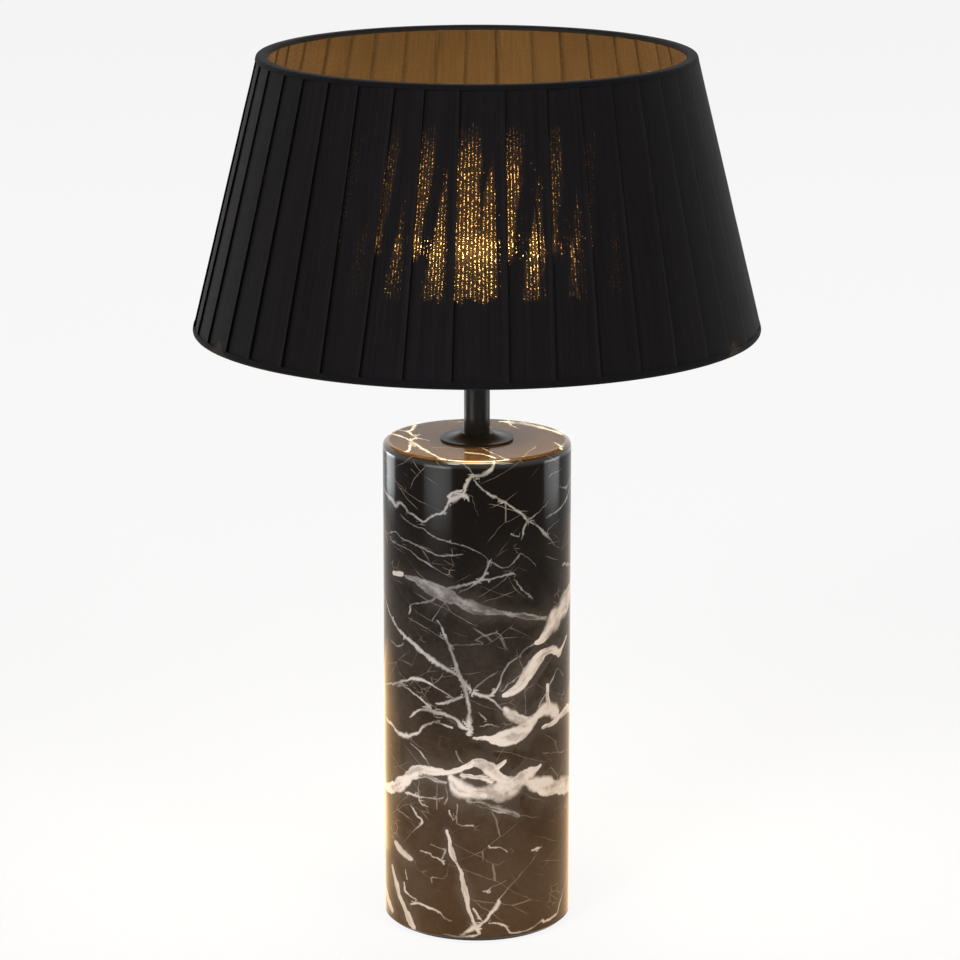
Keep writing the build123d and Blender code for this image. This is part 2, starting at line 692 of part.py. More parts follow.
with BuildPart() as screw_shell:
    revolve(half_section([
        (shell_radius - SHELL_FLANGE, core_floor),
        (shell_radius, core_floor),
        (shell_radius, core_floor + SHELL_HEIGHT),
        (SHELL_BORE / 2, core_floor + SHELL_HEIGHT),
        (SHELL_BORE / 2, core_floor + SHELL_WALL),
        (shell_radius - SHELL_FLANGE, core_floor + SHELL_WALL),
    ]), axis=Axis.Z)

# Skirt with the shoulder that carries the shade, and the ring nut above it
with BuildPart() as holder_skirt:
    revolve(half_section([
        (holder_bore, cap_top),
        (holder_radius, cap_top),
        (holder_radius, shoulder_top - SHOULDER_THICKNESS),
        (SHOULDER_DIAMETER / 2, shoulder_top - SHOULDER_THICKNESS),
        (SHOULDER_DIAMETER / 2, shoulder_top),
        (holder_radius, shoulder_top),
        (holder_radius, skirt_top),
        (shell_radius + SLIDE, skirt_top),
        (shell_radius + SLIDE, skirt_top - SKIRT_LIP),
        (holder_bore, skirt_top - SKIRT_LIP),
    ]), axis=Axis.Z)
    fillet(holder_skirt.edges().group_by(Axis.Z)[-1], SKIRT_LIP / 4)

with BuildPart() as shade_ring:
    with BuildSketch(Plane.XY.offset(ring_bottom)):
        Circle(RING_DIAMETER / 2)
        Circle(holder_radius + SLIDE, mode=Mode.SUBTRACT)
        with PolarLocations(RING_DIAMETER / 2 + RING_GRIP_DEPTH, RING_GRIP_COUNT):
            Circle(2 * RING_GRIP_DEPTH, mode=Mode.SUBTRACT)
    extrude(amount=RING_HEIGHT)

# Bulb: opal globe, screw cap, insulator, tip and the mount with its filaments
neck_top = bulb_cap_top + BULB_NECK
globe_radius = BULB_DIAMETER / 2
round_centre_x = bulb_cap_radius + BULB_NECK_ROUND
globe_rise = math.sqrt((globe_radius + BULB_NECK_ROUND) ** 2 - round_centre_x**2)
globe_z = neck_top + globe_rise
neck_angle = math.degrees(math.atan2(globe_rise, round_centre_x))


def globe_outline(inset):
    """Half section of the globe and its neck, drawn in by a wall thickness."""
    with BuildSketch(Plane.XZ) as outline:
        with BuildLine():
            ball = CenterArc((0, globe_z), globe_radius - inset, -neck_angle, 90 + neck_angle)
            waist = CenterArc((round_centre_x, neck_top), BULB_NECK_ROUND + inset, 180, -neck_angle)
            Polyline(waist @ 0, (bulb_cap_radius - inset, bulb_cap_top), (0, bulb_cap_top), ball @ 1)
        make_face()
    return outline.sketch


with BuildPart() as bulb_glass:
    revolve(globe_outline(0), axis=Axis.Z)
    revolve(globe_outline(BULB_GLASS), axis=Axis.Z, mode=Mode.SUBTRACT)

cap_bore = bulb_cap_radius - BULB_CAP_WALL
with BuildPart() as bulb_cap:
    revolve(half_section([
        (cap_bore - BULB_CAP_WALL, bulb_cap_bottom),
        (bulb_cap_radius, bulb_cap_bottom),
        (bulb_cap_radius, bulb_cap_top),
        (cap_bore, bulb_cap_top),
        (cap_bore, bulb_cap_bottom + BULB_CAP_WALL),
        (cap_bore - BULB_CAP_WALL, bulb_cap_bottom + BULB_CAP_WALL),
    ]), axis=Axis.Z)

with BuildPart() as bulb_insulator:
    revolve(half_section([
        (0, insulator_bottom),
        (BULB_TIP_DIAMETER / 2 + BULB_CAP_WALL, insulator_bottom),
        (cap_bore - BULB_CAP_WALL, bulb_cap_bottom),
        (cap_bore - BULB_CAP_WALL, bulb_cap_bottom + BULB_CAP_WALL),
        (0, bulb_cap_bottom + BULB_CAP_WALL),
    ]), axis=Axis.Z)

with BuildPart() as bulb_tip:
    with BuildSketch(Plane.XY.offset(tip_bottom)):
        Circle(BULB_TIP_DIAMETER / 2)
    extrude(amount=BULB_TIP_HEIGHT)
    fillet(bulb_tip.edges().group_by(Axis.Z)[0], BULB_TIP_HEIGHT / 2)

mount_foot_top = bulb_cap_top + MOUNT_FOOT_HEIGHT
filament_top = mount_foot_top + SUPPORT_DIAMETER + FILAMENT_LENGTH
mount_radius = MOUNT_ROD_DIAMETER / 2
mount_foot = bulb_cap_radius - BULB_GLASS - SEAT
with BuildPart() as bulb_mount:
    revolve(half_section([
        (0, bulb_cap_top),
        (mount_foot, bulb_cap_top),
        (mount_foot, bulb_cap_top + BULB_NECK),
        (mount_radius, mount_foot_top),
        (mount_radius, filament_top),
        (0, filament_top),
    ]), axis=Axis.Z)

with BuildPart() as bulb_filaments:
    with BuildSketch(Plane.XY.offset(filament_top - FILAMENT_LENGTH)):
        with PolarLocations(FILAMENT_CIRCLE / 2, FILAMENT_COUNT):
            Circle(FILAMENT_DIAMETER / 2)
    extrude(amount=FILAMENT_LENGTH)

support_length = (FILAMENT_CIRCLE - FILAMENT_DIAMETER) / 2 - mount_radius - 2 * THREAD
with BuildPart() as bulb_leads:
    for support_z in (filament_top - FILAMENT_LENGTH + SUPPORT_DIAMETER, filament_top - SUPPORT_DIAMETER):
        with Locations((0, 0, support_z)):
            with PolarLocations(mount_radius + THREAD, FILAMENT_COUNT):
                Cylinder(SUPPORT_DIAMETER / 2, support_length, rotation=(0, 90, 0),
                         align=(Align.CENTER, Align.CENTER, Align.MIN))

# Shade: every layer is placed from the slanted outer line of the pleats
wire_radius = RING_WIRE / 2
pleat_outer = wire_radius + FABRIC_GAP + PLEAT_THICKNESS + PLEAT_DEPTH
lining_outer = wire_radius + FABRIC_GAP
lining_inner = lining_outer + LINING_THICKNESS
slope = (SHADE_BOTTOM_DIAMETER - SHADE_TOP_DIAMETER) / 2 / SHADE_HEIGHT


def shade_radius(z):
    """Outer radius of the shade at a height."""
    return SHADE_BOTTOM_DIAMETER / 2 - slope * (z - shade_bottom)


def wire_line(z):
    """Radius of the line through the two wire rings at a height."""
    return shade_radius(z) - pleat_outer


with BuildPart() as bottom_ring:
    with BuildSketch(Plane.XZ):
        with Locations((wire_line(wire_z), wire_z)):
            Circle(wire_radius)
    revolve(axis=Axis.Z)

with BuildPart() as top_ring:
    with BuildSketch(Plane.XZ):
        with Locations((wire_line(rim_wire_z), rim_wire_z)):
            Circle(wire_radius)
    revolve(axis=Axis.Z)

strut_lean = math.degrees(math.atan(slope))
strut_trim = wire_radius + THREAD
strut_length = (rim_wire_z - wire_z) / math.cos(math.radians(strut_lean)) - 2 * strut_trim
with BuildPart() as frame_struts:
    with PolarLocations(wire_line(wire_z), STRUT_COUNT, start_angle=STRUT_START):
        with Locations(Location((0, 0, wire_z), (0, -strut_lean, 0))):
            with Locations((0, 0, strut_trim)):
                Cylinder(STRUT_WIRE / 2, strut_length, align=(Align.CENTER, Align.CENTER, Align.MIN))

# Fitter: a plate on the lampholder's shoulder, with arms out to the bottom ring
arm_start = FITTER_DIAMETER / 2 - FITTER_ARM_LAP
arm_length = wire_line(wire_z) - wire_radius - THREAD - arm_start
arm_sites = (arm_start, FITTER_ARM_COUNT, FITTER_ARM_START)
with BuildPart() as shade_fitter:
    with BuildSketch(Plane.XY.offset(fitter_bottom)):
        Circle(FITTER_DIAMETER / 2)
        Circle(holder_radius + 2 * SLIDE, mode=Mode.SUBTRACT)
    extrude(amount=FITTER_THICKNESS)
    with Locations((0, 0, wire_z)):
        with PolarLocations(*arm_sites):
            Cylinder(FITTER_ARM_WIRE / 2, arm_length, rotation=(0, 90, 0),
                     align=(Align.CENTER, Align.CENTER, Align.MIN))

# Bindings: folded tape round each wire ring, notched for the arms of the fitter
fold = wire_radius + 2 * SLIDE
hem_top = shade_bottom + BOTTOM_BINDING_HEIGHT
hem_inner_top = shade_bottom + BINDING_INNER_HEIGHT
rim_bottom = shade_top - TOP_BINDING_HEIGHT
rim_inner_bottom = shade_top - RIM_LIP
with BuildPart() as bottom_binding:
    with BuildSketch(Plane.XZ):
        with BuildLine():
            Polyline(
                (wire_line(wire_z) + fold, wire_z),
                (wire_line(hem_top) + fold, hem_top),
                (shade_radius(hem_top), hem_top),
                (shade_radius(shade_bottom), shade_bottom),
                (wire_line(shade_bottom) - lining_inner, shade_bottom),
                (wire_line(hem_inner_top) - lining_inner, hem_inner_top),
                (wire_line(hem_inner_top) - fold, hem_inner_top),
                (wire_line(wire_z) - fold, wire_z),
            )
            CenterArc((wire_line(wire_z), wire_z), fold, 180, 180)
        make_face()
    revolve(axis=Axis.Z)
    fillet(bottom_binding.edges().group_by(Axis.Z)[0].sort_by(SortBy.RADIUS)[-1], BINDING_ROUND)
    with Locations((0, 0, wire_z)):
        with PolarLocations(*arm_sites):
            Cylinder(FITTER_ARM_WIRE / 2 + SLIDE, arm_length + wire_radius, rotation=(0, 90, 0),
                     align=(Align.CENTER, Align.CENTER, Align.MIN), mode=Mode.SUBTRACT)

with BuildPart() as top_binding:
    lip_half = math.sqrt(fold**2 - (RING_INSET - RIM_LIP) ** 2)
    lip_angle = math.degrees(math.atan2(RING_INSET - RIM_LIP, -lip_half))
    with BuildSketch(Plane.XZ):
        with BuildLine():
            Polyline(
                (wire_line(rim_wire_z) - lip_half, rim_inner_bottom),
                (wire_line(rim_inner_bottom) - lining_inner, rim_inner_bottom),
                (wire_line(shade_top) - lining_inner, shade_top),
                (shade_radius(shade_top), shade_top),
                (shade_radius(rim_bottom), rim_bottom),
                (wire_line(rim_bottom) + fold, rim_bottom),
                (wire_line(rim_wire_z) + fold, rim_wire_z),
            )
            CenterArc((wire_line(rim_wire_z), rim_wire_z), fold, 0, lip_angle)
        make_face()
    revolve(axis=Axis.Z)
    fillet(top_binding.edges().group_by(Axis.Z)[-1].sort_by(SortBy.RADIUS)[-1], BINDING_ROUND)

# Lining: a plain cone inside the wires
with BuildPart() as shade_lining:
    revolve(half_section([
        (wire_line(hem_inner_top) - lining_outer, hem_inner_top),
        (wire_line(rim_inner_bottom) - lining_outer, rim_inner_bottom),
        (wire_line(rim_inner_bottom) - lining_inner, rim_inner_bottom),
        (wire_line(hem_inner_top) - lining_inner, hem_inner_top),
    ]), axis=Axis.Z)

# Pleats: each panel rises from under the fold of the last one to its own fold, then steps down
pleat_pitch = 360 / PLEAT_COUNT


def pleat_outline(z, inset):
    """Closed saw-tooth outline of the pleats at a height, drawn in by the thickness of the cloth."""
    scale = shade_radius(z) / shade_radius(hem_top)
    peak = shade_radius(z) - inset
    valley = peak - PLEAT_DEPTH * scale
    corners = []
    for panel in range(PLEAT_COUNT):
        fold_angle = math.radians(PLEAT_PHASE + panel * pleat_pitch)
        root_angle = fold_angle + math.radians(PLEAT_STEP_ANGLE)
        corners.append((peak * math.cos(fold_angle), peak * math.sin(fold_angle)))
        corners.append((valley * math.cos(root_angle), valley * math.sin(root_angle)))
    with BuildSketch(Plane.XY.offset(z)) as outline:
        with BuildLine():
            Polyline(*corners, close=True)
        make_face()
    return outline.sketch


with BuildPart() as shade_pleats:
    for inset, how in ((0, Mode.ADD), (PLEAT_THICKNESS, Mode.SUBTRACT)):
        loft([pleat_outline(hem_top, inset), pleat_outline(rim_bottom, inset)], ruled=True, mode=how)

# Every piece goes to its own file, under its own name
pieces = {
    "marble_column": marble_column,
    "foot_pad": foot_pad,
    "base_plate": base_plate,
    "plate_inserts": plate_inserts,
    "plate_screws": plate_screws,
    "rear_panel": rear_panel,
    "panel_screws": panel_screws,
    "control_board": control_board,
    "board_standoffs": board_standoffs,
    "board_components": board_components,
    "usb_socket": usb_socket,
    "usb_tongue": usb_tongue,
    "power_button": power_button,
    "switch_plunger": switch_plunger,
    "switch_body": switch_body,
    "status_light": status_light,
    "battery_tray": battery_tray,
    "battery_cap": battery_cap,
    "battery_tabs": battery_tabs,
    "battery_cells": battery_cells,
    "battery_rods": battery_rods,
    "battery_leads": battery_leads,
    "lamp_pipe": lamp_pipe,
    "clamp_washer": clamp_washer,
    "clamp_nut": clamp_nut,
    "lamp_leads": lamp_leads,
    "stem_flange": stem_flange,
    "stem_tube": stem_tube,
    "holder_cap": holder_cap,
    "holder_core": holder_core,
    "holder_terminals": holder_terminals,
    "centre_contact": centre_contact,
    "screw_shell": screw_shell,
    "holder_skirt": holder_skirt,
    "shade_ring": shade_ring,
    "bulb_glass": bulb_glass,
    "bulb_cap": bulb_cap,
    "bulb_insulator": bulb_insulator,
    "bulb_tip": bulb_tip,
    "bulb_mount": bulb_mount,
    "bulb_filaments": bulb_filaments,
    "bulb_leads": bulb_leads,
    "bottom_ring": bottom_ring,
    "top_ring": top_ring,
    "frame_struts": frame_struts,
    "shade_fitter": shade_fitter,
    "bottom_binding": bottom_binding,
    "top_binding": top_binding,
    "shade_lining": shade_lining,
    "shade_pleats": shade_pleats,
}
for name, piece in pieces.items():
    piece.part.label = name
    export_step(piece.part, f"parts/{name}.step")
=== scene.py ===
import math

import bmesh
import bpy
import numpy as np
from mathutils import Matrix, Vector
from mathutils.kdtree import KDTree


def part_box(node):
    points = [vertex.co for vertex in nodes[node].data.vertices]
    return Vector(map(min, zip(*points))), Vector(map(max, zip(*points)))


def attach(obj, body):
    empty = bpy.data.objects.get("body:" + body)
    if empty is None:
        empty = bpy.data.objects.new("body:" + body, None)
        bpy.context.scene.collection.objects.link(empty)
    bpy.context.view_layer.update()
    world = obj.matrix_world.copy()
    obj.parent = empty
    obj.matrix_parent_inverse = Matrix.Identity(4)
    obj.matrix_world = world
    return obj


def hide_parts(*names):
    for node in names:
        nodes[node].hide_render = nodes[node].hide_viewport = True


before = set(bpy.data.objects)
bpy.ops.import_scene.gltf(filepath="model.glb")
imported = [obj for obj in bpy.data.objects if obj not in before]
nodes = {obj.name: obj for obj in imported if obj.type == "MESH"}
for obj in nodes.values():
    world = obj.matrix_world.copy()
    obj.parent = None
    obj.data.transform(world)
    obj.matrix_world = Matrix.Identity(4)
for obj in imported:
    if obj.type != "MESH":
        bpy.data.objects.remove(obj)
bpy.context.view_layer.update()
scene = bpy.context.scene
scene.view_settings.view_transform = "Standard"
MM = 0.001


# Nodes of shaders and shapes

class Wiring:
    """Adds nodes to one tree and joins them."""

    def __init__(self, tree):
        self.tree = tree

    def feed(self, socket, value):
        if isinstance(value, bpy.types.NodeSocket):
            self.tree.links.new(value, socket)
        else:
            socket.default_value = (*value, 1.0) if socket.type == "RGBA" else value

    def add(self, kind, inputs=None, **options):
        node = self.tree.nodes.new(kind)
        for key, value in options.items():
            setattr(node, key, value)
        for key, value in (inputs or {}).items():
            self.feed(node.inputs[key], value)
        return node

    def math(self, operation, *values, clamp=False):
        inputs = dict(enumerate(values))
        return self.add("ShaderNodeMath", inputs, operation=operation, use_clamp=clamp).outputs[0]

    def chain(self, operation, first, *rest):
        for value in rest:
            first = self.math(operation, first, value)
        return first

    def total(self, *values):
        return self.chain("ADD", *values)

    def product(self, *values):
        return self.chain("MULTIPLY", *values)

    def most(self, *values):
        return self.chain("MAXIMUM", *values)

    def less(self, value, amount):
        return self.math("SUBTRACT", value, amount)

    def ratio(self, value, whole, clamp=False):
        return self.math("DIVIDE", value, whole, clamp=clamp)

    def size(self, value):
        """The value without its sign."""
        return self.math("ABSOLUTE", value)

    def swing(self, value, reach):
        """A value from 0 to 1 made to swing about 0."""
        return self.product(self.less(value, 0.5), reach)

    def wave(self, angle):
        """From 1 to 0 and back as the angle goes round."""
        return self.between(0.5, self.math("COSINE", angle), 1.0)

    def fade(self, value, start, end, low=0.0, high=1.0):
        """low as far as start, high from end on, and a smooth change between."""
        inputs = {0: value, 1: start, 2: end, 3: low, 4: high}
        return self.add("ShaderNodeMapRange", inputs, interpolation_type="SMOOTHSTEP").outputs[0]

    def between(self, share, first, second):
        """A value that goes from first to second as share goes from 0 to 1."""
        return self.add("ShaderNodeMix", {0: share, 2: first, 3: second}).outputs[0]

    def tint(self, share, first, second):
        """A colour between two, by share."""
        return self.add("ShaderNodeMix", {0: share, 6: first, 7: second}, data_type="RGBA").outputs[2]

    def noise(self, place, scale, detail=3.0, roughness=0.55):
        inputs = {"Vector": place, "Scale": scale, "Detail": detail, "Roughness": roughness}
        return self.add("ShaderNodeTexNoise", inputs).outputs[0]

    def stretched(self, place, scale):
        """The place with each axis times its own scale."""
        return self.add("ShaderNodeMapping", {"Vector": place, "Scale": scale}).outputs[0]

    def streaks(self, cloth, across, along, detail, roughness=0.55):
        """Noise with one scale across a cloth and another along it."""
        return self.noise(self.stretched(cloth, (across, along, 1.0)), 1.0, detail, roughness)

    def stored(self, label, output="Vector"):
        """An attribute kept on the mesh."""
        return self.add("ShaderNodeAttribute", attribute_name=label).outputs[output]

    def parts(self, vector):
        return self.add("ShaderNodeSeparateXYZ", {0: vector}).outputs

    def joined(self, x, y, z):
        return self.add("ShaderNodeCombineXYZ", {0: x, 1: y, 2: z}).outputs[0]

    def radius(self, x, y):
        return self.math("SQRT", self.total(self.product(x, x), self.product(y, y)))

    def turned(self, radius, angle, height):
        """The point at a radius, angle and height about the upright axis."""
        return self.joined(self.product(radius, self.math("COSINE", angle)),
                           self.product(radius, self.math("SINE", angle)), height)


FLOAT, GEOMETRY, MATERIAL = "NodeSocketFloat", "NodeSocketGeometry", "NodeSocketMaterial"
NUMBER_SOCKETS = {int: "NodeSocketInt", float: FLOAT}


def new_group(name, kind, inputs, outputs):
    """An empty node group; inputs are socket types or starting numbers by name, outputs are socket types."""
    tree = bpy.data.node_groups.new(name, kind)
    for label, value in inputs.items():
        socket_type = NUMBER_SOCKETS.get(type(value), value)
        socket = tree.interface.new_socket(label, in_out="INPUT", socket_type=socket_type)
        if socket_type != value:
            socket.default_value = value
    for label, socket_type in outputs.items():
        tree.interface.new_socket(label, in_out="OUTPUT", socket_type=socket_type)
    wiring = Wiring(tree)
    return wiring, wiring.add("NodeGroupInput").outputs, wiring.add("NodeGroupOutput").inputs


# Shared surface effects

def effect_group(name, outputs, **numbers):
    """An empty shared effect: a Vector and numbers in, values out."""
    inputs = {"Vector": "NodeSocketVector", **numbers}
    return new_group(name, "ShaderNodeTree", inputs, dict.fromkeys(outputs, FLOAT))


def fine_grain_group():
    """Small pits and soft tone changes of moulded, cast and coated surfaces."""
    w, given, out = effect_group("Fine grain", ["Height", "Tone"], Scale=900.0)
    place, scale = given["Vector"], given["Scale"]
    coarse, fine = w.noise(place, scale, 2.0), w.noise(place, w.product(scale, 3.7), 2.0)
    w.feed(out["Height"], w.between(0.4, coarse, fine))
    w.feed(out["Tone"], w.fade(w.noise(place, w.product(scale, 0.06), 4.0), 0.3, 0.7))
    return w.tree


def handling_marks_group():
    """Smudges and hairline scratches that change the gloss."""
    w, given, out = effect_group("Handling marks", ["Roughness"], Gloss=0.4, Spread=0.15)
    smudge = w.noise(given["Vector"], 38.0, 5.0, 0.65)
    slant = {"Vector": given["Vector"], "Rotation": (0.5, 0.3, 0.8), "Scale": (1400.0, 30.0, 90.0)}
    scratch = w.fade(w.noise(w.add("ShaderNodeMapping", slant).outputs[0], 1.0, 1.0), 0.70, 0.78)
    change = w.swing(w.total(smudge, w.product(scratch, 0.4)), given["Spread"])
    w.feed(out["Roughness"], w.most(w.total(given["Gloss"], change), 0.04))
    return w.tree


def turned_rings_group():
    """Faint tool rings left on turned and drawn metal, about the upright axis."""
    w, given, out = effect_group("Turned rings", ["Height", "Tone"], Rings=2500.0)
    x, y, z = w.parts(given["Vector"])
    line = w.joined(w.radius(x, y), z, 0.0)
    w.feed(out["Height"], w.noise(line, given["Rings"], 2.0))
    w.feed(out["Tone"], w.fade(w.noise(line, w.product(given["Rings"], 0.1), 3.0), 0.25, 0.75))
    return w.tree


def woven_threads_group():
    """Crossing threads of a plain weave; the vector is metres across and along the cloth."""
    w, given, out = effect_group("Woven threads", ["Height", "Slub"], Warp=1600.0, Weft=1400.0)
    across, along, _ = w.parts(given["Vector"])
    slub = w.streaks(given["Vector"], 700.0, 60.0, 3.0)
    warp = w.wave(w.total(w.product(across, given["Warp"], math.tau), w.product(slub, 3.0)))
    weft = w.wave(w.total(w.product(along, given["Weft"], math.tau), w.product(slub, 2.0)))
    w.feed(out["Height"], w.most(warp, w.product(weft, 0.85)))
    w.feed(out["Slub"], slub)
    return w.tree


FINE_GRAIN = fine_grain_group()
HANDLING_MARKS = handling_marks_group()
TURNED_RINGS = turned_rings_group()
WOVEN_THREADS = woven_threads_group()


# Finishes

class Finish(Wiring):
    """A material with its shader and its Object coordinates ready to wire."""

    def __init__(self, name, **sockets):
        self.material = bpy.data.materials.new(name)
        self.material.use_nodes = True
        super().__init__(self.material.node_tree)
        self.shader = self.tree.nodes["Principled BSDF"]
        self.set(**sockets)
        self.place = self.add("ShaderNodeTexCoord").outputs["Object"]

    def set(self, **sockets):
        for key, value in sockets.items():
            self.feed(self.shader.inputs[key.replace("_", " ")], value)

    def effect(self, group, **inputs):
        """A shared effect with its own values, on Object coordinates unless another Vector is given."""
        return self.add("ShaderNodeGroup", {"Vector": self.place, **inputs}, node_tree=group).outputs

    def worn(self, gloss, spread):
        return self.effect(HANDLING_MARKS, Gloss=gloss, Spread=spread)["Roughness"]

    def raise_surface(self, height, depth):
        self.set(Normal=self.add("ShaderNodeBump", {"Height": height, "Distance": depth}).outputs[0])


BLACK, WHITE = (0.0, 0.0, 0.0), (1.0, 1.0, 1.0)
GRAIN_STAIN, METAL_STAIN = (0.78, 0.78, 0.78), (0.82, 0.8, 0.78)
METAL_SPREAD, RING_DEPTH = 0.2, 0.00001


def worn_finish(w, surface, shade, stain, gloss, spread, depth):
    """A colour that an effect stains and raises, with uneven gloss."""
    stained = [c * s for c, s in zip(shade, stain)]
    w.set(Base_Color=w.tint(surface["Tone"], stained, shade), Roughness=w.worn(gloss, spread))
    w.raise_surface(surface["Height"], depth)
    return w.material


def moulded(name, shade, gloss, spread=0.12, grain=900.0, depth=0.00004, **sockets):
    """Moulded plastic, powder coat, felt and ceramic."""
    w = Finish(name, **sockets)
    grains = w.effect(FINE_GRAIN, Scale=grain)
    return worn_finish(w, grains, shade, GRAIN_STAIN, gloss, spread, depth)


def bare_metal(name, shade, gloss, rings=2500.0):
    """Bare, plated or drawn metal with faint rings."""
    w = Finish(name, Metallic=1.0)
    turned = w.effect(TURNED_RINGS, Rings=rings)
    return worn_finish(w, turned, shade, METAL_STAIN, gloss, METAL_SPREAD, RING_DEPTH)


def toned(name, grain, dark, light, gloss=None, glow=None, **sockets):
    """Glass and glowing things: soft changes between two colours, two glosses and two glows."""
    w = Finish(name, **sockets)
    tone = w.effect(FINE_GRAIN, Scale=grain)["Tone"]
    w.set(Base_Color=w.tint(tone, dark, light))
    if gloss:
        w.set(Roughness=w.between(tone, *gloss))
    if glow:
        w.set(Emission_Color=w.tint(tone, *glow))
    return w.material


def board_finish():
    """Green board with darker mask over its copper runs."""
    w = Finish("green_board")
    bricks = {"Vector": w.place, "Scale": 260.0, "Mortar Size": 0.06, "Bias": 0.2}
    runs = w.add("ShaderNodeTexBrick", bricks).outputs["Fac"]
    share = w.product(runs, w.fade(w.noise(w.place, 260.0, 1.0), 0.46, 0.5))
    w.set(Base_Color=w.tint(share, (0.008, 0.075, 0.03), (0.03, 0.17, 0.06)),
          Roughness=w.worn(0.34, 0.15))
    w.raise_surface(share, 0.00004)
    return w.material


def cell_finish():
    """Shrink sleeve of the battery cells, with a bare metal rim at each end."""
    w = Finish("cell_sleeve")
    z = w.parts(w.place)[2]
    wrinkle = w.noise(w.stretched(w.place, (160.0, 160.0, 900.0)), 1.0, 3.0)
    low, high = (corner.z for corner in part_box("battery_cells"))
    sleeve = w.product(w.fade(z, low + 0.001, low + 0.0014), w.fade(z, high - 0.001, high - 0.0014))
    blue = w.tint(wrinkle, (0.02, 0.07, 0.16), (0.04, 0.12, 0.26))
    w.set(Base_Color=w.tint(sleeve, (0.62, 0.6, 0.56), blue), Metallic=w.less(1.0, sleeve),
          Roughness=w.between(wrinkle, 0.24, 0.42))
    w.raise_surface(wrinkle, 0.00006)
    return w.material


def lead_finish():
    """Silicone sleeves, red on the right and black on the left."""
    w = Finish("lead_sleeves")
    grain = w.effect(FINE_GRAIN, Scale=700.0)
    tone = grain["Tone"]
    red = w.tint(tone, (0.28, 0.012, 0.01), (0.36, 0.02, 0.016))
    black = w.tint(tone, (0.012, 0.012, 0.012), (0.022, 0.022, 0.022))
    w.set(Base_Color=w.tint(w.fade(w.parts(w.place)[0], -0.0001, 0.0001), black, red),
          Roughness=w.between(tone, 0.4, 0.55))
    w.raise_surface(grain["Height"], 0.00002)
    return w.material


GLOBE_NECK, GLOBE_HOT, GLOBE_HOT_SPAN = 0.398, 0.427, 0.007
GLOBE_WARM, GLOBE_PALE = (1.0, 0.72, 0.37), (1.0, 0.84, 0.54)


def lit_globe_finish():
    """Opal glass lit from inside: dim at the neck, brightest just above it."""
    w = Finish("lit_opal_glass", Emission_Strength=165.0)
    z = w.parts(w.place)[2]
    cloud = w.noise(w.place, 45.0, 4.0)
    off = w.ratio(w.less(z, GLOBE_HOT), GLOBE_HOT_SPAN)
    hot = w.math("EXPONENT", w.product(off, off, -1.0))
    level = w.product(w.fade(z, GLOBE_NECK - 0.002, GLOBE_NECK + 0.004, 0.02, 1.0),
                      w.total(0.16, w.product(hot, 0.84), w.product(cloud, 0.16)))
    w.set(Emission_Color=w.tint(level, BLACK, w.tint(hot, GLOBE_WARM, GLOBE_PALE)),
          Base_Color=w.tint(cloud, (0.74, 0.7, 0.62), (0.86, 0.83, 0.76)),
          Roughness=w.between(cloud, 0.22, 0.34))
    return w.material


def tape_finish():
    """Black ribbed tape that binds the edges of the shade."""
    w = Finish("black_tape", Specular_IOR_Level=0.05, Sheen_Weight=0.018, Sheen_Roughness=0.4,
               Sheen_Tint=(0.7, 0.75, 0.9))
    threads = w.effect(WOVEN_THREADS, Vector=w.stored("tape_place"), Warp=1500.0, Weft=900.0)
    w.set(Base_Color=w.tint(threads["Height"], (0.001, 0.001, 0.0014), (0.006, 0.006, 0.0072)),
          Roughness=w.between(threads["Slub"], 0.55, 0.75))
    w.raise_surface(threads["Height"], 0.00012)
    return w.material


def lining_finish():
    """Bronze cloth inside the shade, thin enough for the globe to show through."""
    w = Finish("bronze_cloth", Transmission_Weight=0.85, IOR=1.4, Specular_IOR_Level=0.02,
               Specular_Tint=(1.0, 0.75, 0.46), Sheen_Weight=0.03, Sheen_Roughness=0.5,
               Sheen_Tint=(0.9, 0.65, 0.35))
    cloth = w.stored("cloth_place")
    share, _, chance = w.parts(w.stored("panel_place"))
    threads = w.effect(WOVEN_THREADS, Vector=cloth, Warp=1250.0, Weft=1000.0)
    streak = w.fade(w.streaks(cloth, 420.0, 26.0, 4.0), 0.25, 0.75)
    bronze = w.tint(streak, (0.078, 0.0345, 0.0075), (0.118, 0.0535, 0.0118))
    # Painted shadow: a dark line along each fold of the lining, stronger on some panels than on others.
    painted_crease_shadow = w.fade(w.size(w.less(share, 0.96)), 0.0, 0.09, 0.25, 1.0)
    painted_crease_shadow = w.between(w.fade(chance, 0.08, 0.36, 0.05, 1.0), 1.0, painted_crease_shadow)
    grain = w.fade(w.streaks(cloth, 1100.0, 900.0, 2.0), 0.3, 0.7, 0.72, 1.0)
    tone = w.product(painted_crease_shadow, grain, w.between(threads["Height"], 0.85, 1.1))
    w.set(Base_Color=w.tint(tone, BLACK, bronze),
          Roughness=w.fade(w.streaks(cloth, 900.0, 500.0, 2.0), 0.35, 0.65, 0.3, 0.75))
    w.raise_surface(threads["Height"], 0.0002)
    return w.material


OPENING_PITCH = 0.0019
BRIGHT_RISE = 0.46
OPEN_LIMIT, SHUT_LIMIT, LIMIT_SPAN = 0.604, 0.72, 0.08


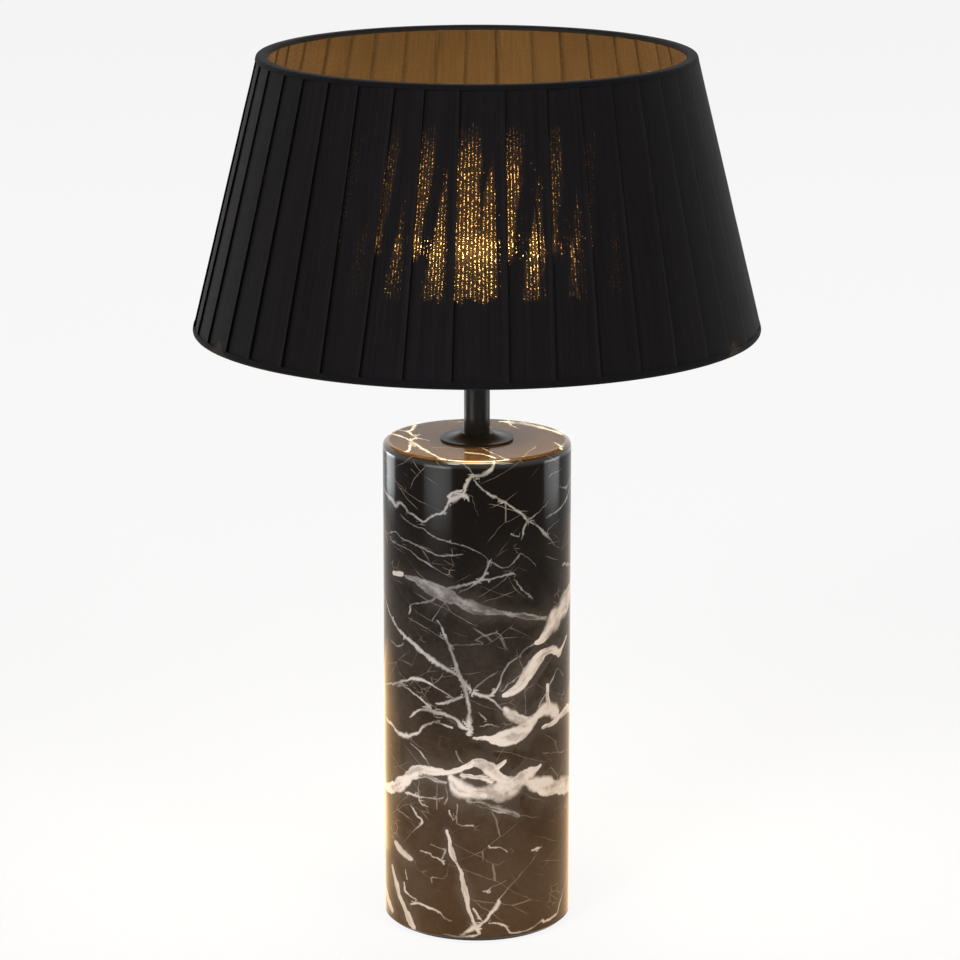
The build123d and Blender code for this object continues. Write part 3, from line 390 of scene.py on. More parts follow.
def pleat_finish():
    """Black open cloth: one layer lets the globe sparkle through, the laps behind each fold do not."""
    w = Finish("black_pleated_cloth", Specular_IOR_Level=0.05, Sheen_Weight=0.022, Sheen_Roughness=0.4,
               Sheen_Tint=(0.72, 0.78, 1.0))
    cloth = w.stored("cloth_place")
    share, rise, chance = w.parts(w.stored("panel_place"))
    threads = w.effect(WOVEN_THREADS, Vector=cloth, Warp=1700.0, Weft=1500.0)

    # Where the cloth lies single: a strip beside the lap above, a wedge below it
    fray = w.swing(w.streaks(cloth, 420.0, 60.0, 3.0), 0.26)
    frayed = w.total(share, fray)
    wide = w.fade(chance, 0.8, 1.0)
    narrow_edge = w.total(w.fade(rise, 0.36, 0.86, 0.1, 0.36), w.product(chance, 0.08))
    lap_edge = w.between(wide, narrow_edge, 0.46)
    strip = w.product(w.fade(frayed, w.total(lap_edge, 0.1), lap_edge),
                      w.between(wide, w.fade(rise, 0.39, 0.47), 1.0))
    below = w.less(w.total(0.6, w.product(chance, 0.2)), rise)
    away = w.size(w.less(frayed, w.less(0.76, w.product(below, 0.35))))
    wedge = w.product(w.fade(w.less(w.product(below, 0.54), away), -0.05, 0.05), w.fade(below, 0.0, 0.03))
    single = w.most(strip, wedge)

    # Openings between the threads, in wandering columns of dashes and dots
    wander = w.streaks(cloth, 240.0, 90.0, 2.0)
    across = w.product(w.parts(cloth)[0], math.tau / OPENING_PITCH)
    column = w.wave(w.total(across, w.product(wander, 3.5)))
    dash, dots = w.streaks(cloth, 1500.0, 380.0, 2.0, 0.6), w.streaks(cloth, 1650.0, 1000.0, 1.0)
    opening = w.total(w.product(dash, 0.24), w.product(column, 0.2), w.product(dots, 0.56))

    # How much of the light the openings pass, by height and by panel
    ragged = w.total(rise, w.swing(w.streaks(cloth, 430.0, 3.0, 1.0), 0.09))
    thin_band = w.product(w.fade(ragged, 0.275, 0.295), w.fade(ragged, 0.9, 0.74))
    off_bright = w.size(w.less(w.total(rise, w.product(fray, 0.15)), BRIGHT_RISE))
    level = w.product(w.fade(off_bright, 0.055, 0.015, 0.46, 1.0), w.fade(rise, 0.37, 0.44, 0.75, 1.0),
                      w.fade(chance, 0.0, 0.35, 0.15, 1.0))
    leak = w.product(w.fade(off_bright, 0.07, 0.02), w.fade(chance, 0.4, 0.75), 0.1)
    limit = w.between(single, w.less(SHUT_LIMIT, leak), OPEN_LIMIT)
    bright = w.product(w.fade(w.between(0.6, dash, dots), 0.42, 0.66, 0.3, 1.0), level)
    spark = w.product(w.fade(opening, limit, w.total(limit, LIMIT_SPAN)), bright)
    hole = w.product(w.most(spark, w.product(single, level, 0.012)), thin_band)

    streak = w.fade(w.streaks(cloth, 520.0, 9.0, 4.0, 0.65), 0.3, 0.7)
    tone = w.product(w.between(streak, 0.5, 1.2), w.between(threads["Slub"], 0.7, 1.2))
    woven = w.tint(tone, (0.0014, 0.0011, 0.0014), (0.01, 0.0085, 0.0098))
    # Painted shade and highlight: each pleat darkened just past the fold before it and lightened along its
    # own fold edge.
    painted_fold_shade_and_highlight = w.total(w.fade(share, 0.11, 0.2, 0.1, 0.6), w.fade(share, 0.86, 0.98, 0.0, 0.4))
    w.set(Alpha=w.less(1.0, hole), Base_Color=w.tint(painted_fold_shade_and_highlight, BLACK, woven),
          Roughness=w.between(threads["Slub"], 0.5, 0.68))
    w.raise_surface(w.between(0.5, threads["Height"], dash), 0.00015)
    return w.material


COLUMN_RADIUS, COLUMN_LOW, COLUMN_HIGH = 58.5, 1.5, 310.0
STONE_WHITE, STONE_CREAM = (0.49, 0.495, 0.515), (0.27, 0.262, 0.262)
STONE_PALE, STONE_DUSK = (0.41, 0.42, 0.445), (0.045, 0.041, 0.038)
# The second colour on the next line is painted shade for veins under the lampshade.
STONE_HAZE, STONE_SHADED_VEIN = (0.24, 0.242, 0.252), (0.116, 0.137, 0.182)
STONE_GREY, STONE_SMOKE = (0.33, 0.31, 0.295), (0.13, 0.12, 0.112)
STONE_MIST = (0.08, 0.075, 0.073)
# The second colour on the next line is painted warm lamplight, not a colour of the stone itself.
STONE_BLACK, STONE_PAINTED_LAMPLIGHT = (0.0026, 0.0023, 0.0022), (0.036, 0.0215, 0.0105)
BACK_SHIFT = 0.4
CRACK_WARP = (0.014, 0.014, 0.0)


def stone_finish():
    """Polished black marble: veins drawn on the block, hairlines and clouds between, painted lamplight and
    shade.
    """
    w = Finish("polished_black_marble", Specular_IOR_Level=0.05, Coat_Roughness=0.13)

    def drawn(label):
        return w.stored(label, "Fac")

    place = w.place
    x, y, z = w.parts(place)
    lumps, torn = w.noise(place, 75.0, 4.0, 0.6), w.noise(place, 330.0, 4.0, 0.6)
    patches, dust = w.noise(place, 42.0, 2.0), w.noise(place, 1500.0, 2.0)

    # Broad and grey veins, with a grain that follows them
    broad_place = w.total(drawn("broad_share"), w.swing(lumps, 0.7), w.swing(torn, 0.3))
    soft = w.fade(patches, 0.42, 0.66)
    broad = w.fade(broad_place, w.between(soft, 1.12, 1.4), w.between(soft, 0.9, 0.5))
    followed = w.joined(w.product(drawn("broad_across"), 1.3), w.product(drawn("broad_along"), 0.09), 0.0)
    grain = w.total(w.noise(followed, 0.7, 2.0, 0.5), w.swing(lumps, 0.7), w.swing(torn, 0.2))

    # Fine veins
    half = drawn("fine_half")
    unevenness = w.product(w.total(w.swing(lumps, 0.9), w.swing(torn, 1.3)), w.total(half, 0.1))
    beside = w.total(w.size(drawn("fine_offset")), unevenness)
    near = w.fade(drawn("fine_reach"), w.total(half, 1.5), w.total(half, 0.8))
    strength = w.product(near, w.fade(patches, 0.34, 0.54, 0.6, 1.0), w.fade(half, 0.15, 1.0, 0.35, 1.0))
    fine = w.product(w.fade(beside, w.product(half, 1.2), w.product(half, 0.1)), strength)

    # Hairlines on the unrolled side
    facing = w.math("SIGN", w.product(y, -1.0))
    around = w.product(w.math("ARCTAN2", w.product(x, facing), w.size(y)), COLUMN_RADIUS * MM)
    skin = w.joined(w.total(around, w.product(facing, BACK_SHIFT)), z, 0.0)
    warp = w.add("ShaderNodeTexNoise", {"Vector": skin, "Scale": 24.0, "Detail": 4.0}).outputs["Color"]
    warped = {0: warp, 1: CRACK_WARP, 2: skin}
    bent = w.add("ShaderNodeVectorMath", warped, operation="MULTIPLY_ADD").outputs[0]

    def cracks(turn, cell, width, patch_scale, patch_low, patch_high, level):
        """Thin lines between long slanted cells of the unrolled side, shown in patches."""
        turned = w.add("ShaderNodeMapping", {"Vector": bent, "Rotation": (0.0, 0.0, turn)}).outputs[0]
        cells = w.add("ShaderNodeTexVoronoi", {"Vector": w.stretched(turned, (*cell, 1.0)), "Scale": 1.0},
                      voronoi_dimensions="2D", feature="DISTANCE_TO_EDGE").outputs["Distance"]
        shown = w.fade(w.noise(turned, patch_scale, 2.0), patch_low, patch_high)
        return w.product(w.fade(cells, width, 0.15 * width), shown, level)

    falling = cracks(0.42, (16.0, 80.0), 0.018, 26.0, 0.5, 0.62, 0.45)
    rising = cracks(-0.6, (18.0, 70.0), 0.016, 22.0, 0.52, 0.64, 0.4)
    crumbs = cracks(0.3, (110.0, 210.0), 0.06, 38.0, 0.62, 0.7, 0.4)
    side_only = w.product(w.fade(w.size(y), 0.004, 0.02), w.fade(z, 0.3095, 0.3075))
    faint = w.product(w.most(falling, rising, crumbs), side_only)

    # Colours, from the ground up
    cloud = w.noise(place, 20.0, 4.0)
    # Painted light: a warm brownish glow towards the foot stands in for the lamp-lit table it reflects, and
    # on the top face for the bulb's light falling on it.
    painted_lamplight = w.most(w.fade(z, 0.24, 0.02), w.fade(z, 0.308, 0.3095))
    ground = w.tint(w.product(painted_lamplight, w.between(cloud, 0.6, 1.3)), STONE_BLACK, STONE_PAINTED_LAMPLIGHT)
    smoke = w.total(w.fade(broad_place, 5.0, 0.6, 0.0, 0.3),
                    w.fade(w.between(0.3, cloud, torn), 0.36, 0.66, 0.04, 0.26))
    # Painted shade: the clouds fade out above mid height, leaving the upper stone darker under the lampshade.
    ground = w.tint(w.product(smoke, w.fade(z, 0.285, 0.17)), ground, STONE_MIST)
    ground = w.tint(w.product(faint, w.between(torn, 0.2, 1.2)), ground, STONE_GREY)
    cream = w.tint(w.fade(grain, 0.26, 0.58), STONE_CREAM, STONE_WHITE)
    cream = w.tint(drawn("vein_grey"), cream, w.tint(w.fade(grain, 0.3, 0.7), STONE_DUSK, STONE_HAZE))
    cream = w.tint(w.fade(z, 0.085, 0.06, 0.0, 0.6), cream, STONE_CREAM)
    # Painted shade: broad veins grow greyer towards the top, where the lampshade keeps light off the column.
    cream = w.tint(w.fade(z, 0.19, 0.27, 0.0, 0.8), cream, STONE_SHADED_VEIN)
    # Painted shade: fine veins grow greyer on the upper side under the lampshade, but not on the top face.
    upper = w.product(w.fade(z, 0.13, 0.25, 0.0, 0.76), w.fade(z, 0.3096, 0.308))
    thin = w.tint(w.product(strength, w.between(dust, 0.6, 1.2)), STONE_SMOKE, STONE_PALE)
    ground = w.tint(fine, ground, w.tint(upper, thin, STONE_SHADED_VEIN))
    rim = w.product(w.fade(z, 0.304, 0.307), w.fade(w.radius(x, y), 0.0535, 0.0555))
    w.set(Base_Color=w.tint(broad, ground, cream), Coat_Weight=w.product(rim, 0.8),
          Roughness=w.worn(0.13, 0.07))
    return w.material


finishes = {
    "plate_steel": bare_metal("zinc_plate", (0.6, 0.6, 0.58), 0.36, rings=900.0),
    "insert_brass": bare_metal("brass", (0.8, 0.58, 0.24), 0.3),
    "panel_plastic": moulded("panel_black", (0.016, 0.016, 0.017), 0.48, depth=0.00006),
    "switch_plastic": moulded("button_black", (0.022, 0.022, 0.023), 0.36),
    "board_green": board_finish(),
    "nylon": moulded("white_nylon", (0.72, 0.7, 0.64), 0.45),
    "component_dark": moulded("component_cases", (0.03, 0.03, 0.032), 0.4),
    "socket_steel": bare_metal("socket_shell", (0.62, 0.62, 0.62), 0.26),
    "light_pipe": toned("status_lens", 400.0, (0.5, 0.62, 0.52), (0.62, 0.74, 0.64), (0.15, 0.25),
                        ((0.05, 0.3, 0.08), (0.08, 0.42, 0.12)), Emission_Strength=0.5),
    "pack_plastic": moulded("battery_holder", (0.03, 0.03, 0.03), 0.5),
    "cell_can": cell_finish(),
    "tab_nickel": bare_metal("nickel_strip", (0.68, 0.65, 0.58), 0.3, rings=600.0),
    "lead_sleeve": lead_finish(),
    "pipe_steel": bare_metal("steel_pipe", (0.56, 0.55, 0.52), 0.34),
    "stem_black": moulded("satin_black_coat", (0.006, 0.0058, 0.0058), 0.32, spread=0.1, grain=1500.0,
                          depth=0.00002, Specular_IOR_Level=0.16),
    "holder_black": moulded("holder_shell", (0.014, 0.014, 0.014), 0.42),
    "porcelain": moulded("glazed_porcelain", (0.82, 0.8, 0.74), 0.16, grain=300.0, Coat_Weight=0.6),
    "contact_brass": bare_metal("spring_brass", (0.82, 0.6, 0.26), 0.24),
    "frame_wire": moulded("coated_wire", (0.02, 0.02, 0.02), 0.44),
    "opal_glass": lit_globe_finish(),
    "bulb_metal": bare_metal("cap_nickel", (0.7, 0.68, 0.63), 0.24),
    "black_glass": moulded("cap_glass", (0.01, 0.01, 0.012), 0.1),
    "tip_solder": bare_metal("solder", (0.58, 0.58, 0.6), 0.34, rings=500.0),
    "clear_glass": toned("mount_glass", 120.0, (0.855, 0.864, 0.855), (0.95, 0.96, 0.95), (0.02, 0.04),
                         Transmission_Weight=1.0, IOR=1.5),
    "filament": toned("glowing_filament", 800.0, (0.5, 0.4, 0.1), (0.6, 0.5, 0.16),
                      glow=((1.0, 0.45, 0.12), (1.0, 0.6, 0.22)), Emission_Strength=6.0),
    "support_wire": bare_metal("mount_wire", (0.5, 0.48, 0.45), 0.3),
    "foot": moulded("foot_felt", (0.016, 0.015, 0.015), 0.85, grain=600.0, depth=0.0003),
}
marble = stone_finish()
pleat_cloth = pleat_finish()
lining_cloth = lining_finish()
tape = tape_finish()

for node in nodes.values():
    coat = node.material_slots[0]
    coat.material = finishes.get(coat.material.name, coat.material)


# Meshes

def new_piece(name, mesh, material, body, slot, *stands_for):
    piece = bpy.data.objects.new(name, mesh)
    scene.collection.objects.link(piece)
    mesh.materials.clear()
    mesh.materials.append(material)
    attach(piece, body)
    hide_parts(*stands_for)
    return piece


def smooth_mesh(name, points, faces, sharp=40.0):
    mesh = bpy.data.meshes.new(name)
    mesh.from_pydata([tuple(p) for p in points], [], faces)
    mesh.shade_smooth()
    mesh.set_sharp_from_angle(angle=math.radians(sharp))
    return mesh


def soft_outline(corners, steps=5):
    """Corners (radius, height, rounding) in mm as a closed outline with its corners rounded."""
    line = []
    count = len(corners)
    for i, (r, z, rounding) in enumerate(corners):
        here = Vector((r, z))
        if rounding == 0:
            line.append((r, z))
            continue
        before = (Vector(corners[i - 1][:2]) - here).normalized()
        after = (Vector(corners[(i + 1) % count][:2]) - here).normalized()
        reach = rounding / math.tan(before.angle(after) / 2)
        start, end = here + before * reach, here + after * reach
        for step in range(steps + 1):
            t = step / steps
            line.append(tuple(start * (1 - t) ** 2 + here * 2 * t * (1 - t) + end * t**2))
    return line


def turned_mesh(name, outline, sides=180, place_name=None):
    """A closed outline (radius, height) in mm, anticlockwise, turned about the lamp's axis."""
    angles = np.arange(sides) * math.tau / sides
    line = np.array(outline) * MM
    rows = len(line)
    points = np.zeros((rows, sides, 3))
    points[:, :, 0] = line[:, :1] * np.cos(angles)
    points[:, :, 1] = line[:, :1] * np.sin(angles)
    points[:, :, 2] = line[:, 1:]
    faces = [
        (i * sides + j, i * sides + (j + 1) % sides,
         (i + 1) % rows * sides + (j + 1) % sides, (i + 1) % rows * sides + j)
        for i in range(rows) for j in range(sides)
    ]
    mesh = smooth_mesh(name, points.reshape(-1, 3), faces)
    if place_name:
        steps = np.linalg.norm(np.diff(line, axis=0), axis=1)
        place = np.zeros((rows, sides, 3), np.float32)
        place[:, :, 0] = np.minimum(angles, math.tau - angles) * line[:, 0].max()
        place[:, :, 1] = np.concatenate([[0.0], np.cumsum(steps)])[:, None]
        mesh.attributes.new(place_name, "FLOAT_VECTOR", "POINT").data.foreach_set("vector", place.ravel())
    return mesh


def sealed(mesh):
    """The mesh with the points on its axis merged into poles."""
    shape = bmesh.new()
    shape.from_mesh(mesh)
    bmesh.ops.remove_doubles(shape, verts=shape.verts, dist=1e-6)
    bmesh.ops.delete(shape, geom=[edge for edge in shape.edges if not edge.link_faces], context="EDGES")
    shape.to_mesh(mesh)
    shape.free()
    return mesh


# Stone block: points of the side's veins are degrees from the front (right is positive), height and
# half width in mm, and points of the top's veins x, y and half width in mm

FINE_VEINS = [
    [(-80, 281, 0.9), (-70, 279, 1.2), (-62, 277, 1.6), (-58, 275.5, 1.5), (-54, 277.5, 1.3),
     (-49, 277, 0.9), (-46, 273.5, 0.9), (-42, 272.5, 1.3), (-36, 269.5, 1.0), (-33, 270, 0.9),
     (-29, 273, 1.0), (-20, 278, 1.0), (-17, 284, 1.1), (-14, 286, 1.9), (-10, 287.5, 1.6), (-5, 288, 1.0)],
    [(-16, 288, 1.3), (-12, 291, 1.1), (-8, 292, 0.9), (-6, 294, 0.9)],
    [(-5, 287, 0.9), (-7, 290, 1.0), (-6.5, 294, 1.1), (-4.5, 298, 1.1), (-2, 300.5, 1.2), (2, 300.5, 1.2),
     (6, 303, 1.2), (9, 305.5, 1.0), (10.5, 310, 1.0)],
    [(-8, 308, 0.4), (-3, 303, 0.5), (-1, 298, 0.6), (2, 294, 0.8), (7, 290, 0.7), (14, 285.5, 0.8),
     (21, 280.5, 0.7), (32, 271, 0.9), (38, 267, 0.6), (42, 264, 0.9), (45, 261, 1.1), (51, 255, 0.5),
     (57, 250, 0.4), (64, 247, 0.3)],
    [(32, 271, 0.7), (30, 268, 0.6), (28.5, 263, 0.8), (28, 260, 0.5)],
    [(32, 271, 0.6), (44, 277, 0.5), (50, 281, 0.3)],
    [(22, 263, 0.6), (25, 262, 0.7)],
    [(48, 261.5, 0.5), (53, 264.5, 0.6), (59, 265.5, 0.5)],
    [(48, 270.5, 0.5), (57, 271.5, 0.6), (65, 274, 0.6), (71, 277, 0.8), (78, 281, 0.9), (100, 284, 0.5)],
    [(62, 286, 0.6), (70, 284, 1.2), (78, 286, 1.3), (90, 287, 0.9), (115, 268, 0.6), (140, 255, 0.4)],
    [(50, 296, 0.5), (62, 298, 0.3)],
    [(-52, 270, 0.4), (-39, 265.5, 0.5), (-33, 264.5, 0.5), (-20, 259, 0.5), (-8, 256.5, 0.5),
     (3, 251.5, 0.35), (7, 248, 0.4)],
    [(-72, 254, 0.6), (-59, 258, 0.7), (-53, 256, 0.7), (-37, 253.5, 0.7), (-25, 250, 0.7),
     (-9, 251.5, 0.5)],
    [(-75, 254.5, 0.5), (-59, 251, 0.6), (-46, 249.5, 0.5), (-36, 245, 0.6), (-22, 240, 0.3)],
    [(8, 247.5, 0.8), (5, 239.5, 0.8), (2, 236, 0.7), (-5, 230, 0.5), (-10, 227.5, 0.5)],
    [(-20, 228, 0.8), (-8, 232, 0.9), (2, 234.5, 0.8), (12, 236.5, 0.9), (20, 238, 0.9), (24, 237.5, 0.4)],
    [(7, 247, 0.5), (17, 242.5, 0.4), (25, 247.5, 0.5), (27, 250, 0.4), (33, 246.5, 0.35), (38, 242, 0.3)],
    [(24, 234, 0.5), (27, 229, 0.5), (35, 221.5, 0.6)],
    [(-26, 222, 0.8), (-31, 219, 0.7), (-43, 216, 0.6), (-45, 210, 0.8)],
    [(-19, 221, 0.4), (-27, 208.5, 0.5)],
    [(66, 236, 0.9), (72, 234.5, 1.3), (80, 232, 1.2), (95, 230, 0.9), (120, 234, 0.6)],
    [(-85, 214, 0.7), (-75, 209.4, 1.0), (-64, 201.7, 1.1), (-53, 195, 1.2), (-42, 190, 1.3),
     (-37.4, 187.2, 1.7), (-29, 182.8, 1.5), (-20.6, 178.9, 1.3), (-14, 175.6, 1.1), (-8.6, 170.6, 1.1),
     (-5, 166, 1.2)],
    [(-23.8, 207, 0.6), (-18, 196, 0.9), (-14, 186, 1.0), (-9.7, 172.8, 1.2), (-6.5, 165, 1.5),
     (-5.3, 157, 1.7), (-4.6, 148, 1.9), (-4.2, 139, 1.8)],
    [(-2, 163.3, 1.2), (1.2, 161.9, 1.1), (6, 160.8, 1.0), (10.5, 163.3, 0.8), (14.3, 169.4, 0.7),
     (15.4, 174.4, 0.7), (20, 181, 0.8), (26, 185.6, 0.8), (32, 190, 0.7), (38, 191.7, 0.9)],
    [(6, 160.6, 0.9), (11.5, 156, 0.9), (16.4, 150.6, 0.7)],
    [(-24, 155, 0.7), (-16, 157.5, 0.9), (-9, 161, 1.0)],
    [(-75, 156, 0.6), (-60, 160.6, 0.8), (-51, 164.4, 0.9), (-42, 168, 1.0), (-34.7, 168, 1.0),
     (-26, 165, 0.8), (-15, 159.4, 0.7)],
    [(-58, 159.5, 0.6), (-51, 161, 0.8), (-43.4, 159.4, 0.9), (-38, 156.5, 1.0), (-31.5, 153.3, 1.0),
     (-28, 150, 1.2)],
    [(-44, 143.3, 0.8), (-40, 147.8, 1.1), (-33.6, 150.2, 1.7), (-27, 149, 1.9), (-18.4, 148, 1.7),
     (-13, 146, 1.5), (-9.7, 142, 1.5), (-4.2, 139, 1.4)],
    [(-26, 142.5, 0.7), (-16, 140.5, 0.8)],
    [(-75, 133.3, 1.0), (-66, 132.2, 1.2), (-58.7, 130, 1.4), (-51, 129.4, 1.6), (-43.4, 131, 1.6),
     (-38, 134, 1.4), (-35.3, 138.5, 1.4), (-29.3, 141.7, 0.9), (-24.4, 144, 0.7)],
    [(-14.6, 193.3, 0.5), (3.4, 195, 0.4), (-1, 197.8, 0.5), (12.6, 201, 0.4), (18, 191, 0.25)],
    [(-2, 166, 0.35), (5, 171.7, 0.35), (12, 176.7, 0.4)],
    [(15.5, 164, 0.5), (20.8, 168.7, 0.6), (28.4, 172.8, 0.6)],
    [(25, 188.3, 0.35), (29, 177, 0.35), (30, 162.8, 0.35), (31, 148.3, 0.35)],
    [(41.5, 151, 0.6), (47, 157, 0.8), (53.4, 166, 0.8), (58.3, 170.6, 0.6), (66, 164, 0.4)],
    [(3, 142, 0.5), (7.7, 142.8, 0.8), (12, 141.7, 0.5)],
    [(2, 150, 0.5), (4.5, 147, 0.5)],
    [(-64.7, 186.7, 0.5), (-58, 185.6, 0.5), (-51.6, 188.3, 0.5)],
    [(-45, 206, 0.3), (-30, 201, 0.35), (-18, 195, 0.4)],
    [(-48.5, 92, 0.8), (-42, 92.3, 0.9), (-34, 93, 0.5), (-22, 93.5, 0.5)],
    [(-38, 104, 0.3), (-38.5, 92, 0.5), (-36, 88, 0.6), (-32, 87, 0.4)],
    [(-24.5, 104, 0.35), (-25, 88, 0.35)],
    [(-19, 102, 0.4), (-18, 97, 0.5), (-20, 91, 0.4)],
    [(-12, 90, 0.5), (-12, 81, 0.6), (-11, 77.5, 0.6), (-3, 77, 0.6)],
    [(-17, 85, 0.8), (-15, 81.5, 0.7)],
    [(-44, 84, 0.6), (-40, 79.5, 0.7), (-36, 76, 0.7), (-42, 69, 0.3), (-50, 60, 0.25)],
    [(-44, 125, 0.5), (-37, 122.5, 0.7), (-33, 118, 0.5), (-29, 113, 0.35)],
    [(-12.3, 124, 0.5), (-9, 118, 0.5)],
    [(45, 119, 0.3), (62, 115, 0.35), (80, 112, 0.3)],
    [(-1.5, 22, 0.9), (1, 17, 0.8), (3, 14.5, 0.8)],
    [(-8, 6, 1.0), (-5, 8, 1.3), (-1, 10.5, 1.8), (3, 13.5, 1.1), (6, 16, 1.0), (9, 20.5, 1.0),
     (12, 23.5, 1.3), (13.5, 26.5, 1.4), (14, 29, 0.6), (20, 35.5, 0.3), (27, 42, 0.3), (39, 54, 0.3)],
    [(0, 10, 1.3), (1, 6, 0.8), (-4, 4.5, 0.7), (-20, 4.5, 0.4)],
    [(-36, 57, 0.6), (-31, 57, 0.9), (-29, 55, 0.9), (-25, 54.5, 0.8), (-21, 52, 0.8)],
    [(-22, 54, 0.6), (-20.5, 58, 0.7), (-20, 61, 0.7), (-24, 61, 0.5), (-29, 62, 0.35)],
    [(-29, 39, 0.6), (-29, 41, 0.7), (-25, 41.5, 0.4), (-20, 42.5, 0.35), (-17, 52, 0.3)],
    [(-50, 40, 0.5), (-48.5, 36.5, 0.8)],
    [(-51, 31, 0.7), (-50, 27, 0.8), (-40, 24, 0.4)],
    [(-44, 20, 0.9), (-39, 21.5, 0.9), (-33, 20.5, 0.8), (-24, 19, 0.6), (-21, 16, 0.7), (-17, 14, 0.6)],
    [(8, 63, 0.7), (11, 62.5, 0.9), (15, 62.5, 0.6), (18, 60.5, 0.6)],
    [(37, 57.5, 0.8), (40, 58, 1.1), (43, 57.5, 0.5)],
    [(5, 34.5, 0.6), (7, 34.5, 0.8), (10, 37.5, 0.4), (17, 40.5, 0.3)],
    [(8, 13, 0.6), (14, 12, 0.8), (18, 10, 1.0), (21, 6, 0.8), (30, 5.5, 0.7), (37, 6.5, 0.8), (44, 9, 0.9),
     (48, 8, 1.4), (60, 9.5, 0.9), (63, 14, 1.0), (72, 24, 0.6), (78, 32, 0.6)],
]
BROAD_VEINS = [
    [(-62, 231.5, 1.4), (-57, 232.5, 2.0), (-52, 233.5, 1.6)],
    [(38, 191.7, 1.2), (44, 193.5, 2.2), (49, 198, 4.2), (53, 201.5, 6.0), (60, 205.5, 6.2), (67, 209, 6.2),
     (79, 214, 5.0), (95, 222, 3.6), (112, 226, 1.6)],
    [(16.4, 161, 1.3), (20.8, 162, 1.8), (27, 165.5, 2.5), (32, 171.5, 3.5), (36, 176.5, 3.7),
     (41, 181, 3.2), (46, 184.3, 2.3), (52, 184.4, 1.7), (57, 182, 2.4), (60, 180, 2.8), (66, 183, 1.4),
     (73, 188, 1.0)],
    [(17.2, 152.2, 1.5), (20.8, 148.3, 2.5), (27.3, 144.2, 2.3), (34, 142.2, 2.1), (40, 144.5, 2.2),
     (45, 146.7, 3.4), (50, 146.5, 4.2), (55.6, 143.5, 3.6), (60, 141.7, 1.5)],
    [(48, 162.5, 1.3), (48.5, 155, 1.8), (50, 148.3, 2.6)],
    [(-2, 134, 0.8), (5.5, 134.2, 1.5), (13, 132.8, 3.0), (17.5, 133.1, 4.2), (23, 133.7, 4.2),
     (29.5, 135.6, 3.3), (34, 137, 2.0), (39, 141.5, 1.3)],
    [(44, 136, 1.0), (52, 136.7, 1.4), (62, 138.5, 2.4), (75, 140, 3.2), (85, 139, 3.2), (100, 143, 2.2),
     (114, 150, 0.9)],
    [(-104, 97, 0.9), (-88, 91, 2.0), (-75, 88, 2.4), (-66, 90.5, 3.0), (-60, 92.5, 3.5), (-55, 96, 4.2),
     (-50, 100, 4.0), (-45.5, 103.7, 3.8), (-40.5, 107.5, 3.1), (-34, 110.5, 2.2), (-26, 111, 2.0),
     (-16, 111.7, 2.1), (-10, 114, 2.1), (-5, 116.8, 2.0), (-2, 118.6, 2.8), (1.5, 118, 3.4),
     (5, 115.5, 3.7), (9, 112.3, 3.7), (13, 108.5, 3.6), (18, 105, 3.8)],
    [(11, 114, 1.3), (14, 116.5, 1.1), (17.6, 119.5, 0.9)],
    [(-9, 110.2, 1.1), (-3, 109.5, 1.4), (4, 108.6, 1.6), (9, 106, 2.0)],
    [(-16, 108.5, 2.0), (-14, 104, 3.6), (-11, 100.8, 4.2), (-6.5, 99.3, 4.2), (0.5, 98.3, 4.2),
     (8, 98.5, 4.6), (15, 99.5, 5.2), (20, 101.3, 5.4), (25, 103.8, 5.2), (30, 106.7, 4.6), (35, 108.7, 3.2),
     (39.6, 110, 2.0), (43, 111.5, 1.0)],
    [(32, 103, 1.8), (35, 101, 3.0), (39.6, 99.5, 4.6), (45.5, 97.5, 4.8), (52, 95.5, 4.8), (60, 93.5, 4.4),
     (70, 91, 4.2), (85, 87, 3.8), (100, 89, 2.8), (116, 95, 1.2)],
    [(-66, 39, 1.2), (-63, 34, 2.3), (-60, 28, 2.7), (-57, 22.5, 2.5), (-53, 18, 2.5), (-50, 14, 2.3),
     (-46, 9, 2.1), (-43, 5, 1.5)],
    [(-62, 56, 1.4), (-57, 54, 2.0), (-52, 52, 2.0), (-47, 50.5, 1.5), (-44, 50, 0.8)],
    [(-84, 20, 1.6), (-73, 13, 2.4), (-66, 9, 1.6)],
    [(-19, 73, 0.9), (-17, 66, 1.1), (-15.5, 60, 1.5), (-13.5, 54, 1.1), (-11, 50, 0.9), (-9.5, 47, 1.5),
     (-9, 42, 1.7), (-7.5, 36, 1.6), (-6, 30, 1.4), (-6, 24, 0.9), (-4, 18, 1.0), (-2, 14, 1.2),
     (0, 11, 1.3)],
]
GREY_VEINS = [
    [(-49, 232.5, 0.9), (-42, 232.5, 1.7), (-36, 230.5, 2.5), (-30, 228.5, 3.2), (-24, 226.5, 3.6),
     (-18, 224.8, 3.6), (-12, 222.5, 3.4), (-5, 219, 3.2), (2, 216.5, 3.1), (8, 215, 2.5), (14, 214, 1.7),
     (20, 212.5, 2.0), (24, 211.5, 1.6), (30, 210, 1.5), (38, 208, 1.2), (46, 206.5, 0.9)],
    [(-38, 105.5, 1.1), (-30, 106.3, 1.4), (-24, 105, 1.4), (-19, 104.5, 1.4)],
    [(-6, 93, 0.9), (2.4, 91.5, 1.5), (9.3, 88.3, 1.8), (16, 87, 1.8), (23, 84, 1.6), (27, 82, 1.0)],
]
